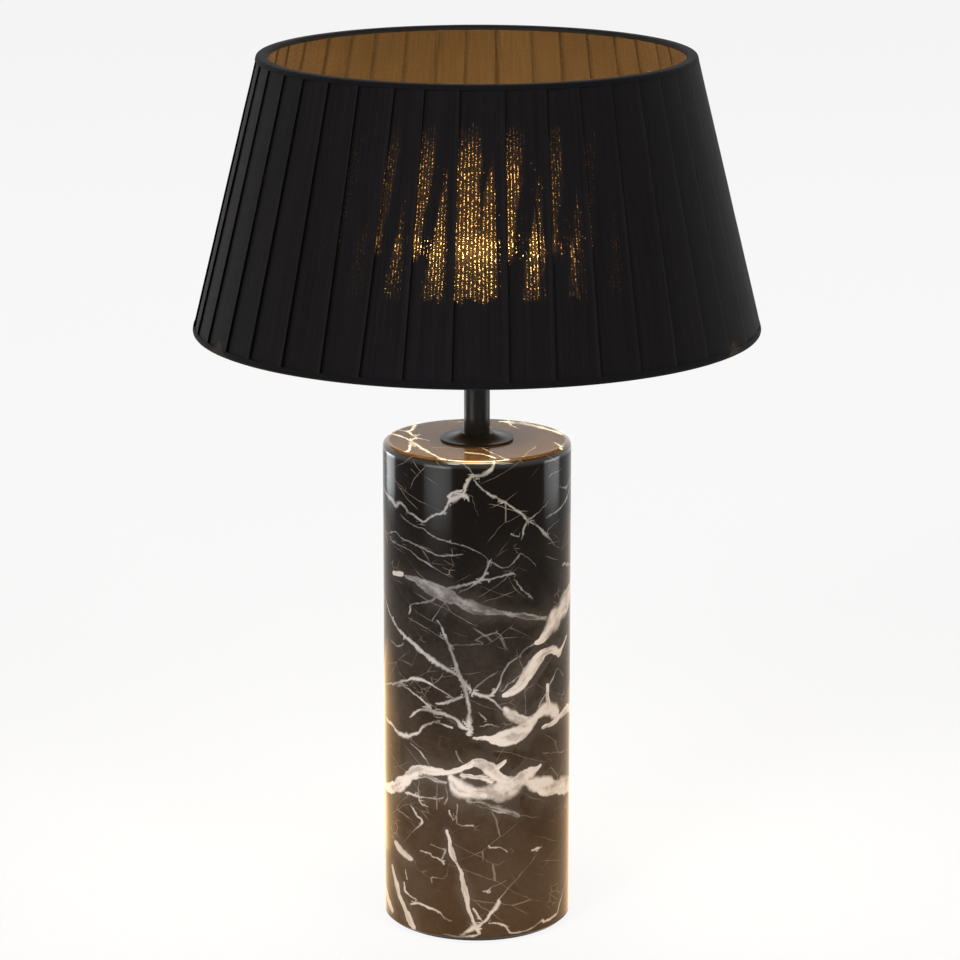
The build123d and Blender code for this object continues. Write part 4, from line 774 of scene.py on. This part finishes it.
TOP_VEINS = [
    [(-55, 15, 1.0), (-48, 8, 1.1), (-41, -6, 1.2), (-34, -25, 1.1), (-27, -40, 1.0), (-20, -55, 0.9)],
    [(-38, 44, 1.0), (-40, 29, 1.3), (-43, 17, 1.2)],
    [(-37, 10, 0.8), (-41, -10, 1.2), (-42, -33, 1.1)],
    [(-50, 26, 0.7), (-43, 18, 0.9), (-38, 4, 0.9), (-30, -4, 0.5)],
    [(-6, -36, 0.9), (2, -40, 0.8), (10, -49, 0.8)],
    [(16, 47, 1.6), (26, 43, 2.4), (35, 36, 2.5), (43, 27, 2.3), (53, 14, 1.8)],
    [(19, 52, 0.8), (22, 38, 0.9), (26, 28, 0.6)],
    [(-26, -23, 0.4), (-10, -25, 0.4)],
    [(3, -23, 0.4), (14, -46, 0.5), (20, -55, 0.5)],
    [(48, -10, 0.6), (53, -25, 0.8)],
    [(-12, 46, 0.5), (4, 52, 0.4)],
    [(36, -20, 0.4), (28, -46, 0.5)],
]
TOP_ROUND, FOOT_CHAMFER = 3.6, 2.0
REBATE_RADIUS, REBATE_TOP = 49.3, 4.5
POCKET_RADIUS, POCKET_TOP = 39.0, 119.5
PIPE_BORE, SPIGOT_BORE, SPIGOT_LOW = 6.0, 8.15, 307.0
NOTCH_HALF, NOTCH_TOP = 20.0, 18.5
STONE_COLUMNS, NOTCH_COLUMNS = 360, 20
FOOT_ROWS, SIDE_ROWS, ROUND_ROWS, TOP_ROWS, TOP_INNER = 12, 212, 9, 28, 20.0
VEIN_SEED, VEIN_STEP, VEIN_DRIFT, VEIN_SWELL, THINNEST_VEIN = 7, 0.4, 0.45, 0.6, 0.16
WALK_STEPS, WALK_PACE = 2048, 0.35
FINE_TWIGS, BROAD_TWIGS, TWIG_SPAN, TWIG_SLANT = 0.05, 0.25, 30.0, (0.3, 0.9)
TWIG_BEND, TWIG_REACH, TWIG_TAPER, THICKEST_TWIG = 0.3, (2.5, 7.0), 0.85, 0.45
SIDE_START, SIDE_END, SIDE_SHARE = 68.0, 86.0, 0.3
WIDEST_VEIN, GREY_REACH, UNVEINED_RADIUS, FAR_OFF = 9.0, 3.0, 19.0, 30.0
UNVEINED = {"broad_share": FAR_OFF, "broad_across": FAR_OFF, "broad_along": FAR_OFF,
            "fine_offset": FAR_OFF, "fine_reach": FAR_OFF, "fine_half": 0.1, "vein_grey": 0.0}


def side_point(degrees, height):
    angle = math.radians(degrees)
    return Vector((COLUMN_RADIUS * math.sin(angle), -COLUMN_RADIUS * math.cos(angle), height))


def top_point(x, y):
    return Vector((x, y, COLUMN_HIGH))


def behind(veins):
    """The front's run of veins again on the back, mirrored and upside down, thinning out at the sides."""
    turned = []
    for vein in veins:
        kept = [(180.0 - turn, COLUMN_LOW + COLUMN_HIGH - height,
                 half * np.interp(abs(turn), [SIDE_START, SIDE_END], [1.0, SIDE_SHARE]))
                for turn, height, half in vein if abs(turn) <= SIDE_END]
        if len(kept) > 1:
            turned.append(kept)
    return turned


def vein_samples(veins, to_point, chance):
    """Points and half widths close together along smooth lines through the veins' points, a little uneven."""
    samples = []
    for vein in veins:
        knots = np.array(vein, float)
        ends = np.vstack([2 * knots[0] - knots[1], knots, 2 * knots[-1] - knots[-2]])
        walk = np.cumsum(chance.normal(0.0, 1.0, (3, WALK_STEPS)), axis=1)
        walk -= np.linspace(0, 1, WALK_STEPS) * walk[:, -1:]
        walked = 0
        for p0, p1, p2, p3 in zip(ends, ends[1:], ends[2:], ends[3:]):
            span = (to_point(*p2[:2]) - to_point(*p1[:2])).length
            for t in np.arange(0.0, 1.0, VEIN_STEP / max(span, VEIN_STEP)):
                knot = 0.5 * (2 * p1 + (p2 - p0) * t + (2 * p0 - 5 * p1 + 4 * p2 - p3) * t**2
                              + (3 * p1 - p0 - 3 * p2 + p3) * t**3)
                drift = VEIN_DRIFT * np.sin(walk[:, walked % WALK_STEPS] * WALK_PACE)
                half = max(knot[2] * (1.0 + VEIN_SWELL * drift[2]), THINNEST_VEIN)
                samples.append((to_point(knot[0] + drift[0], knot[1] + drift[1]), half))
                walked += 1
        samples.append((None, 0.0))
    return samples


def twigs(veins, each, chance):
    """Short thin side veins that leave the drawn ones at a slant."""
    grown_twigs = []
    for vein in veins:
        for start, end in zip(vein, vein[1:]):
            run, climb = end[0] - start[0], end[1] - start[1]
            for _ in range(chance.poisson(each * math.hypot(run, climb) / TWIG_SPAN)):
                t = chance.uniform()
                x, y, half = (a + (b - a) * t for a, b in zip(start, end))
                heading = math.atan2(climb, run) + chance.choice([-1, 1]) * chance.uniform(*TWIG_SLANT)
                thin = min(THICKEST_TWIG, 0.2 + 0.12 * half) * chance.uniform(0.7, 1.2)
                twig = [(x, y, thin)]
                for _ in range(chance.integers(2, 5)):
                    heading += chance.normal(0.0, TWIG_BEND)
                    reach = chance.uniform(*TWIG_REACH)
                    x, y = x + reach * math.cos(heading), y + reach * math.sin(heading)
                    thin *= TWIG_TAPER
                    twig.append((x, y, thin))
                grown_twigs.append(twig)
    return grown_twigs


def nearest_vein(points, samples, by_share=False):
    """Distance, signed offset, half width and place along of each point's nearest vein, in mm.

    With by_share, the nearest is found by the distance over the vein's half width.
    """
    placed = [(p, h, i) for i, (p, h) in enumerate(samples) if p is not None]
    tree = KDTree(len(placed))
    for index, (p, _, _) in enumerate(placed):
        tree.insert(p, index)
    tree.balance()
    found = np.zeros((len(points), 4), np.float32)
    for row, (x, y, z) in enumerate(points):
        here = Vector((x, y, z))
        hit, index, reach = tree.find(here)
        if by_share and reach < WIDEST_VEIN:
            hit, index, reach = min(tree.find_range(here, WIDEST_VEIN),
                                    key=lambda near: near[2] / placed[near[1]][1])
        _, half, order = placed[index]
        ahead = samples[order + 1][0]
        tangent = ahead - hit if ahead is not None else hit - samples[order - 1][0]
        upward = Vector((0, 0, 1)) if z > COLUMN_HIGH - 0.01 else Vector((x, y, 0))
        side = upward.cross(tangent)
        offset = (here - hit).dot(side) / max(side.length, 1e-9)
        found[row] = reach, offset, half, order * VEIN_STEP
    return found


def stone_outline():
    """The column's outline (radius, height) in mm, from the pocket round the foot, and from the notch up."""
    lower = [(POCKET_RADIUS, NOTCH_TOP), (POCKET_RADIUS, REBATE_TOP), (REBATE_RADIUS, REBATE_TOP),
             (REBATE_RADIUS, COLUMN_LOW), (COLUMN_RADIUS - FOOT_CHAMFER, COLUMN_LOW)]
    lower += [(COLUMN_RADIUS, z) for z in np.linspace(COLUMN_LOW + FOOT_CHAMFER, NOTCH_TOP, FOOT_ROWS)[:-1]]
    upper = [(COLUMN_RADIUS, z) for z in np.linspace(NOTCH_TOP, COLUMN_HIGH - TOP_ROUND, SIDE_ROWS)]
    upper += [(COLUMN_RADIUS - TOP_ROUND * (1 - math.cos(a)), COLUMN_HIGH - TOP_ROUND * (1 - math.sin(a)))
              for a in np.linspace(0, math.pi / 2, ROUND_ROWS)[1:]]
    upper += [(r, COLUMN_HIGH) for r in np.linspace(COLUMN_RADIUS - TOP_ROUND, TOP_INNER, TOP_ROWS)[1:]]
    upper += [(SPIGOT_BORE, COLUMN_HIGH), (SPIGOT_BORE, SPIGOT_LOW), (PIPE_BORE, SPIGOT_LOW),
              (PIPE_BORE, POCKET_TOP), (POCKET_RADIUS, POCKET_TOP)]
    return lower, upper


def stone_shape():
    """Points in mm and faces of the column, one closed turned body with the notch at its back."""
    lower, upper = stone_outline()
    outline, first_upper = lower + upper, len(lower)
    rows, columns, middle = len(outline), STONE_COLUMNS, STONE_COLUMNS // 2
    inner_rows = {0, 1, 2, 3, rows - 1}  # nearer the axis, so the notch takes up more degrees there
    turn = np.arange(columns) - 180.0
    points = np.zeros((rows, columns, 3))
    for row, (r, z) in enumerate(outline):
        half = math.degrees(math.asin(NOTCH_HALF / r)) if row in inner_rows else NOTCH_COLUMNS
        away = np.interp(np.abs(turn), [0, NOTCH_COLUMNS, 180], [0, half, 180]) * np.sign(turn)
        angle = np.radians(away + 90.0)
        points[row] = np.stack([r * np.cos(angle), r * np.sin(angle), np.full(columns, z)], axis=1)

    def at(row, column):
        return row % rows * columns + column % columns

    def face(low, high, column):
        return (at(low, column), at(low, column + 1), at(high, column + 1), at(high, column))

    faces = []
    for column in range(columns):
        in_notch = -NOTCH_COLUMNS <= turn[column] < NOTCH_COLUMNS
        faces += [face(row, row + 1, column) for row in range(first_upper if in_notch else 0, rows)]
        if in_notch:
            faces.append(face(0, first_upper, column))
    notch_side = range(first_upper + 1)
    faces.append([at(row, middle + NOTCH_COLUMNS) for row in notch_side][::-1])
    faces.append([at(row, middle - NOTCH_COLUMNS) for row in notch_side])
    return points.reshape(-1, 3), faces


def stone_block():
    """The column with its veins as attributes."""
    points, faces = stone_shape()
    mesh = smooth_mesh("marble_block", points * MM, faces, 30.0)
    chance = np.random.default_rng(VEIN_SEED)
    fine_veins, grey_veins, broad_veins = (veins + behind(veins)
                                           for veins in (FINE_VEINS, GREY_VEINS, BROAD_VEINS))
    slender = fine_veins + twigs(fine_veins, FINE_TWIGS, chance) + twigs(broad_veins, BROAD_TWIGS, chance)
    fine = vein_samples(slender, side_point, chance) + vein_samples(TOP_VEINS, top_point, chance)
    grey = vein_samples(grey_veins, side_point, chance)
    broad = vein_samples(broad_veins, side_point, chance)

    radius = np.hypot(points[:, 0], points[:, 1])
    skin = (radius > UNVEINED_RADIUS) & ((points[:, 2] > NOTCH_TOP) | (radius > POCKET_RADIUS + 1))
    near_fine = nearest_vein(points[skin], fine)
    near_grey, near_broad = (nearest_vein(points[skin], samples, True) for samples in (grey, broad))
    grey_share, broad_share = (near[:, 0] / near[:, 2] for near in (near_grey, near_broad))
    is_grey = grey_share < broad_share
    nearest = np.where(is_grey[:, None], near_grey, near_broad)
    found = {
        "fine_reach": near_fine[:, 0], "fine_offset": near_fine[:, 1], "fine_half": near_fine[:, 2],
        "broad_share": np.minimum(grey_share, broad_share), "broad_across": nearest[:, 1] / nearest[:, 2],
        "broad_along": nearest[:, 3], "vein_grey": is_grey & (grey_share < GREY_REACH),
    }
    for label, unveined in UNVEINED.items():
        values = np.full(len(points), unveined, np.float32)
        values[skin] = found[label]
        mesh.attributes.new(label, "FLOAT", "POINT").data.foreach_set("value", values)
    return mesh


new_piece("marble_block", stone_block(), marble, "base", "marble", "marble_column")


# Shapes grown from a flat grid by Geometry Nodes

MERGE_DISTANCE = 0.00001


def unit_grid(w, columns, rows):
    """A flat grid, and how far along and up it each point lies, from 0 to 1."""
    sizes = {"Size X": 1.0, "Size Y": 1.0, "Vertices X": columns, "Vertices Y": rows}
    x, y, _ = w.parts(w.add("GeometryNodeInputPosition").outputs[0])
    return w.add("GeometryNodeMeshGrid", sizes).outputs["Mesh"], w.total(x, 0.5), w.total(y, 0.5)


def placed_grid(w, grid, spot, material):
    """The grid with its points at their spots, its seam closed, smooth, and with its material."""
    steps = {"SetPosition": {"Position": spot}, "MergeByDistance": {"Distance": MERGE_DISTANCE},
             "SetShadeSmooth": {}, "RealizeInstances": {}, "SetMaterial": {"Material": material}}
    for kind, inputs in steps.items():
        grid = w.add("GeometryNode" + kind, {"Geometry": grid, **inputs}).outputs[0]
    return grid


def grown(tree, name, start_mesh, **sizes):
    """The plain mesh that a tree makes from start_mesh with these inputs."""
    source = bpy.data.objects.new(name + "_source", start_mesh)
    scene.collection.objects.link(source)
    modifier = source.modifiers.new("shape", "NODES")
    modifier.node_group = tree
    for item in tree.interface.items_tree:
        label = item.name.replace(" ", "_").lower()
        if item.in_out == "INPUT" and label in sizes:
            modifier[item.identifier] = sizes[label]
    view = bpy.context.evaluated_depsgraph_get()
    mesh = bpy.data.meshes.new_from_object(source.evaluated_get(view), depsgraph=view)
    mesh.name = name
    source.modifiers.remove(modifier)
    bpy.data.objects.remove(source)
    return mesh


# Pleated cloth: one tree makes the outer pleats and the lining behind them

FACE_END, FACE_BEND, CROWN_BEND = 0.82, 1.7, 0.75


def pleat_tree():
    """Knife pleats round a cone; each input point holds a fold's top angle, bottom angle and chance."""
    w, given, out = new_group("Knife pleats", "GeometryNodeTree", {
        "Folds": GEOMETRY, "Pleats": 40, "Steps": 16, "Rows": 30, "Bottom Radius": 0.17, "Top Radius": 0.13,
        "Bottom Height": 0.0, "Top Height": 0.1, "Depth": 0.0016, "Lap": 0.12, "Ripple": 0.0002,
        "Cloth Width": 1.0, "Cloth Height": 0.16, "Cloth": MATERIAL}, {"Cloth": GEOMETRY})
    columns = w.product(given["Pleats"], given["Steps"])
    grid, turn, rise = unit_grid(w, w.total(columns, 1.0), given["Rows"])
    column = w.math("ROUND", w.product(turn, given["Pleats"], given["Steps"]))
    fold = w.math("FLOOR", w.ratio(w.total(column, 0.5), given["Steps"]))
    step = w.ratio(w.less(column, w.product(fold, given["Steps"])), given["Steps"])
    along = w.ratio(step, FACE_END, clamp=True)
    share = w.less(1.0, w.math("POWER", w.less(1.0, along), FACE_BEND))
    under = w.ratio(w.less(step, FACE_END), 1.0 - FACE_END, clamp=True)

    def fold_at(index):
        sample = w.add("GeometryNodeSampleIndex", {"Geometry": given["Folds"], "Index": index},
                       data_type="FLOAT_VECTOR", domain="POINT")
        w.feed(sample.inputs["Value"], w.add("GeometryNodeInputPosition").outputs[0])
        return w.parts(sample.outputs[0])

    top, bottom, chance = fold_at(fold)
    next_top, next_bottom, _ = fold_at(w.total(fold, 1.0))
    start = w.between(rise, bottom, top)
    width = w.less(w.between(rise, next_bottom, next_top), start)
    lap = given["Lap"]
    place = w.less(w.product(w.total(1.0, lap), share), w.product(lap, w.total(1.0, under)))
    angle = w.total(start, w.product(width, place))
    radius = w.between(rise, given["Bottom Radius"], given["Top Radius"])
    depth = w.product(given["Depth"], w.ratio(radius, given["Bottom Radius"]))
    lift = w.product(depth, w.math("POWER", share, CROWN_BEND), w.fade(under, 0.0, 1.0, 1.0, 0.0))
    ripple_place = w.joined(w.product(fold, 5.3), w.product(rise, 2.6), w.product(share, 0.8))
    ripple = w.swing(w.noise(ripple_place, 1.0, 2.0), w.product(given["Ripple"], 2.0))
    held = w.product(w.fade(rise, 0.0, 0.12), w.fade(rise, 1.0, 0.88))
    distance = w.total(w.less(radius, depth), lift, w.product(ripple, held))
    spot = w.turned(distance, angle, w.between(rise, given["Bottom Height"], given["Top Height"]))

    def kept(geometry, label, value):
        store = w.add("GeometryNodeStoreNamedAttribute", {"Geometry": geometry, "Name": label},
                      data_type="FLOAT_VECTOR", domain="POINT")
        w.feed(next(s for s in store.inputs if s.name == "Value" and s.enabled), value)
        return store.outputs[0]

    across = w.product(w.ratio(w.total(fold, share), given["Pleats"]), given["Cloth Width"])
    cloth = kept(grid, "panel_place", w.joined(share, rise, chance))
    cloth = kept(cloth, "cloth_place", w.joined(across, w.product(rise, given["Cloth Height"]), 0.0))
    w.feed(out["Cloth"], placed_grid(w, cloth, spot, given["Cloth"]))
    return w.tree


KNIFE_PLEATS = pleat_tree()
PLEATS, PLEAT_SEED, LINING_SEED = 40, 3, 11
SHADE_LOW, SHADE_HIGH = 380.0, 550.0
SHADE_RADIUS_LOW, SHADE_SLOPE = 175.0, 0.24412
PLEAT_LOW, PLEAT_HIGH, PLEAT_DEPTH = 383.4, 548.0, 1.6
LINING_LOW, LINING_HIGH, LINING_DEPTH = 384.6, 548.0, 0.4
WIRE_INSET, LINING_INSET = 4.3, 6.55
FOLD_CHANGE, BACK_CHANCE = 0.1, 0.4
CLOTH_HEIGHT = 0.167
FRONT_FOLDS_TOP = [-49.0, -39.8, -30.5, -20.5, -12.8, -4.0, 7.0, 17.5, 26.2, 35.5, 44.5, 52.8]
FRONT_FOLDS_BOTTOM = [-50.5, -41.0, -31.5, -23.0, -14.2, -4.7, 6.3, 15.3, 24.5, 33.3, 42.5, 51.8]
FRONT_CHANCES = [0.0, 0.05, 0.22, 0.5, 0.76, 1.0, 0.6, 0.55, 0.28, 0.08, 0.0]


def shade_radius(height):
    return SHADE_RADIUS_LOW - SHADE_SLOPE * (height - SHADE_LOW)


def all_round(front, rest):
    """The front's angles, then the others over the way that is left."""
    return np.array(front + list(front[-1] + rest * (360 - front[-1] + front[0])))


def fold_layout(seed, way):
    """A point for each fold, and the first two again one turn on; way is -1 to mirror them."""
    chance = np.random.default_rng(seed)
    spare = PLEATS - len(FRONT_FOLDS_TOP) + 1
    rest = np.arange(1, spare) / spare + chance.uniform(-FOLD_CHANGE, FOLD_CHANGE, spare - 1) / spare
    lots = np.array(FRONT_CHANCES + list(chance.uniform(0.0, BACK_CHANCE, PLEATS - len(FRONT_CHANCES))))
    order = np.arange(PLEATS + 2)
    wrap, turns = order % PLEATS, order // PLEATS * 360.0
    top, bottom = (np.radians(way * (all_round(front, rest)[wrap] + turns) - 90)
                   for front in (FRONT_FOLDS_TOP, FRONT_FOLDS_BOTTOM))
    mesh = bpy.data.meshes.new("fold_layout")
    mesh.from_pydata([tuple(p) for p in np.stack([top, bottom, lots[wrap]], axis=1)], [], [])
    return mesh


def shade_cloth(name, folds, low, high, inset, depth, **sizes):
    """A pleated cone of cloth between two heights, this far inside the shade's outer cone, in mm."""
    return grown(KNIFE_PLEATS, name, folds, pleats=PLEATS, bottom_radius=(shade_radius(low) - inset) * MM,
                 top_radius=(shade_radius(high) - inset) * MM, bottom_height=low * MM, top_height=high * MM,
                 depth=depth * MM, cloth_height=CLOTH_HEIGHT, **sizes)


pleats = shade_cloth("pleated_cloth", fold_layout(PLEAT_SEED, 1.0), PLEAT_LOW, PLEAT_HIGH, 0.0, PLEAT_DEPTH,
                     steps=18, rows=36, lap=0.12, ripple=0.00022, cloth_width=1.1, cloth=pleat_cloth)
lining = shade_cloth("bronze_lining", fold_layout(LINING_SEED, -1.0), LINING_LOW, LINING_HIGH, LINING_INSET,
                     LINING_DEPTH, steps=10, rows=30, lap=0.05, ripple=0.0001, cloth_width=1.0,
                     cloth=lining_cloth)
pleat_piece = new_piece("pleated_cloth", pleats, pleat_cloth, "shade", "pleat_black", "shade_pleats")
lining_piece = new_piece("bronze_lining", lining, lining_cloth, "shade", "lining_bronze", "shade_lining")


# Tape folded over both edges of the shade

TAPE_THICK, TAPE_OUT, TAPE_IN, TAPE_SIDES = 0.55, 0.1, 2.75, 240
TAPE_FOLD, TAPE_INNER_FOLD, TAPE_END = 2.2, 1.6, 0.25


def tape_outline(upside, outer_lap, inner_lap):
    """A tape round one wire ring: its outer lap covers the pleats' edge, its inner lap the lining's."""
    edge, inward = (SHADE_LOW, 1.0) if upside else (SHADE_HIGH, -1.0)
    outer_end, inner_end = edge + inward * outer_lap, edge + inward * inner_lap
    inner_edge = edge + inward * TAPE_THICK

    def outer(z):
        return shade_radius(z) + TAPE_OUT

    def inner(z):
        return shade_radius(z) - WIRE_INSET - TAPE_IN

    shell = [(outer(outer_end), outer_end, TAPE_END), (outer(edge), edge, TAPE_FOLD),
             (inner(edge), edge, TAPE_FOLD), (inner(inner_end), inner_end, TAPE_END),
             (inner(inner_end) + TAPE_THICK, inner_end, 0.0),
             (inner(edge) + TAPE_THICK, inner_edge, TAPE_INNER_FOLD),
             (outer(edge) - TAPE_THICK, inner_edge, TAPE_INNER_FOLD),
             (outer(outer_end) - TAPE_THICK, outer_end, 0.0)]
    return soft_outline(shell[::-1] if upside else shell)


for place, upside, outer_lap, inner_lap in (("bottom", True, 4.4, 5.6), ("top", False, 3.2, 2.6)):
    outline = tape_outline(upside, outer_lap, inner_lap)
    tape_mesh = turned_mesh(f"{place}_tape", outline, TAPE_SIDES, "tape_place")
    new_piece(f"{place}_tape", tape_mesh, tape, "shade", "binding_black", f"{place}_binding")


# Foot pad with a rolled edge

foot_low, foot_high = (corner.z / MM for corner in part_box("foot_pad"))
foot_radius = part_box("foot_pad")[1].x / MM
foot_outline = soft_outline([(0.0, foot_low, 0.0), (foot_radius, foot_low, 0.5),
                             (foot_radius, foot_high, 0.4), (0.0, foot_high, 0.0)])
foot_felt = sealed(turned_mesh("foot_felt", foot_outline))
new_piece("foot_felt", foot_felt, finishes["foot"], "base", "foot", "foot_pad")


# Rolled thread on the bulb's cap

def thread_tree():
    """A thin tube with a round thread rolled into it; its rows go up the outside and down the inside."""
    w, given, out = new_group("Rolled thread", "GeometryNodeTree", {
        "Start": GEOMETRY, "Steps": 96, "Rows": 64, "Radius": 0.013, "Wall": 0.0006, "Pitch": 0.0036,
        "Depth": 0.001, "Low": 0.0, "High": 0.02, "Curl": 0.0006, "Metal": MATERIAL}, {"Metal": GEOMETRY})
    rows = given["Rows"]
    round_trip = w.product(rows, 2.0)
    grid, turn, up = unit_grid(w, w.total(given["Steps"], 1.0), w.total(round_trip, 1.0))
    row = w.math("ROUND", w.product(up, round_trip))
    before_last = w.less(1.0, w.math("GREATER_THAN", row, w.less(round_trip, 0.5)))
    inside = w.product(w.math("GREATER_THAN", row, w.less(rows, 0.5)), before_last)
    returning = w.less(w.less(round_trip, 1.0), row)
    rise = w.product(w.ratio(w.between(inside, row, returning), w.less(rows, 1.0)), before_last)
    height = w.between(rise, given["Low"], given["High"])
    winding = w.less(w.ratio(w.less(height, given["Low"]), given["Pitch"]), turn)
    crest = w.wave(w.product(winding, math.tau))
    threaded = w.product(w.fade(rise, 0.08, 0.2), w.fade(rise, 0.86, 0.76))
    groove = w.product(given["Depth"], w.less(1.0, crest), threaded)
    curl = w.product(given["Curl"], w.fade(rise, 0.07, 0.0))
    radius = w.less(given["Radius"], w.total(groove, curl, w.product(given["Wall"], inside)))
    spot = w.turned(radius, w.product(turn, math.tau), height)
    w.feed(out["Metal"], placed_grid(w, grid, spot, given["Metal"]))
    return w.tree


CAP_PITCH, CAP_GROOVE, CAP_WALL = 3.629, 0.95, 0.6
cap_low, cap_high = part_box("bulb_cap")
threaded_cap = grown(
    thread_tree(), "threaded_cap", bpy.data.meshes.new("cap_start"), radius=cap_high.x, low=cap_low.z,
    high=cap_high.z, pitch=CAP_PITCH * MM, depth=CAP_GROOVE * MM, wall=CAP_WALL * MM, curl=CAP_WALL * MM,
    metal=finishes["bulb_metal"])
new_piece("threaded_cap", threaded_cap, finishes["bulb_metal"], "bulb", "bulb_metal", "bulb_cap")


# Camera, floor and light

CAMERA_TILT = 14.033
FLOOR_REACH, FLOOR_HEIGHT, FLOOR_WHITE = 30, -0.0004, 0.88
WORLD_LIGHT = 0.18
KEY_TINT, STRIP_TINT = (0.97, 0.98, 1.0), (0.95, 0.97, 1.0)
SHADE_TINT, TABLE_TINT = (1.0, 0.72, 0.38), (1.0, 0.53, 0.11)
KEY_AIM, KEY_SIZE, KEY_SPREAD = (0.0, 0.0, 0.3), 0.8, 40.0
STRIP_HEIGHT, STRIP_TALL, STRIP_SPREAD = 0.135, 0.06, 60.0

camera = bpy.data.objects.new("camera", bpy.data.cameras.new("camera"))
camera.data.lens = 147.98
camera.data.sensor_width = 36.0
camera.location = (0.00187, -2.3794, 0.8784)
camera.rotation_euler = (math.radians(90 - CAMERA_TILT), 0.0, 0.0)
scene.collection.objects.link(camera)
scene.camera = camera


def background_rays(w):
    """1 where the camera looks, straight or by way of gloss or glass."""
    rays = w.add("ShaderNodeLightPath").outputs
    return w.most(rays["Is Camera Ray"], rays["Is Glossy Ray"], rays["Is Transmission Ray"])


def floor_finish():
    """Pale matt floor that reads as a white backdrop and still takes the lamp's shadow."""
    w = Finish("pale_floor", Roughness=0.85, Specular_IOR_Level=0.2)
    speckle = w.noise(w.place, 4.0, 3.0)
    w.set(Base_Color=w.tint(speckle, (0.8, 0.795, 0.785), (0.83, 0.825, 0.82)))
    white = w.add("ShaderNodeEmission", {"Color": WHITE, "Strength": 1.0}).outputs[0]
    share = w.product(background_rays(w), FLOOR_WHITE)
    mixed = w.add("ShaderNodeMixShader", {0: share, 1: w.shader.outputs[0], 2: white}).outputs[0]
    w.feed(w.tree.nodes["Material Output"].inputs["Surface"], mixed)
    return w.material


floor = bpy.data.objects.new("floor", bpy.data.meshes.new("floor"))
floor_corners = [(x * FLOOR_REACH, y * FLOOR_REACH, FLOOR_HEIGHT)
                 for x, y in ((-1, -1), (1, -1), (1, 1), (-1, 1))]
floor.data.from_pydata(floor_corners, [], [(0, 1, 2, 3)])
floor.data.materials.append(floor_finish())
scene.collection.objects.link(floor)

world = bpy.data.worlds.new("studio")
world.use_nodes = True
scene.world = world
w = Wiring(world.node_tree)
backdrop = world.node_tree.nodes["Background"]
w.feed(backdrop.inputs["Color"], WHITE)
w.feed(backdrop.inputs["Strength"], w.between(background_rays(w), WORLD_LIGHT, 1.0))


def softbox(name, place, aim, width, height, power, tint=WHITE, spread=180.0, shape="RECTANGLE"):
    light = bpy.data.lights.new(name, "AREA")
    light.shape = shape
    light.size, light.size_y = width, height
    light.energy = power
    light.color = tint
    light.spread = math.radians(spread)
    lamp = bpy.data.objects.new(name, light)
    lamp.location = place
    lamp.rotation_euler = (Vector(aim) - Vector(place)).to_track_quat("-Z", "Y").to_euler()
    lamp.visible_camera = False
    scene.collection.objects.link(lamp)


softbox("floor_wash", (0.0, 2.2, 2.6), (0.0, 1.6, 0.0), 5.0, 2.0, 18.0, spread=120.0)
for name, place, power in (("key_left", (-1.5, -2.6, 2.0), 3.4), ("key_right", (1.7, -2.3, 1.9), 1.6)):
    softbox(name, place, KEY_AIM, KEY_SIZE, KEY_SIZE, power, KEY_TINT, KEY_SPREAD)
for name, x, y, width, power in (("strip_front_left", -0.51, -0.47, 0.44, 0.24),
                                 ("strip_back_left", -0.56, 0.44, 0.3, 0.08),
                                 ("strip_right", 0.69, 0.14, 0.36, 0.12)):
    softbox(name, (x, y, STRIP_HEIGHT), (0.0, 0.0, STRIP_HEIGHT), width, STRIP_TALL, power, STRIP_TINT,
            STRIP_SPREAD)
softbox("under_shade", (0.0, -0.1, 0.376), (0.0, -0.06, 0.31), 0.38, 0.05, 0.3, SHADE_TINT, 70.0)
for name, x, y, z, across, power in (("table_glow_1", 0.0, 0.0, 0.003, 0.5, 0.48),
                                     ("table_glow_2", 0.0, 0.0, 0.004, 1.0, 1.5),
                                     ("table_glow_3", 0.0, 0.0, 0.005, 2.0, 3.0),
                                     ("table_glow_left", -0.26, 0.3, 0.002, 0.5, 1.1)):
    softbox(name, (x, y, z), (x, y, 1.0), across, across, power, TABLE_TINT, shape="DISK")
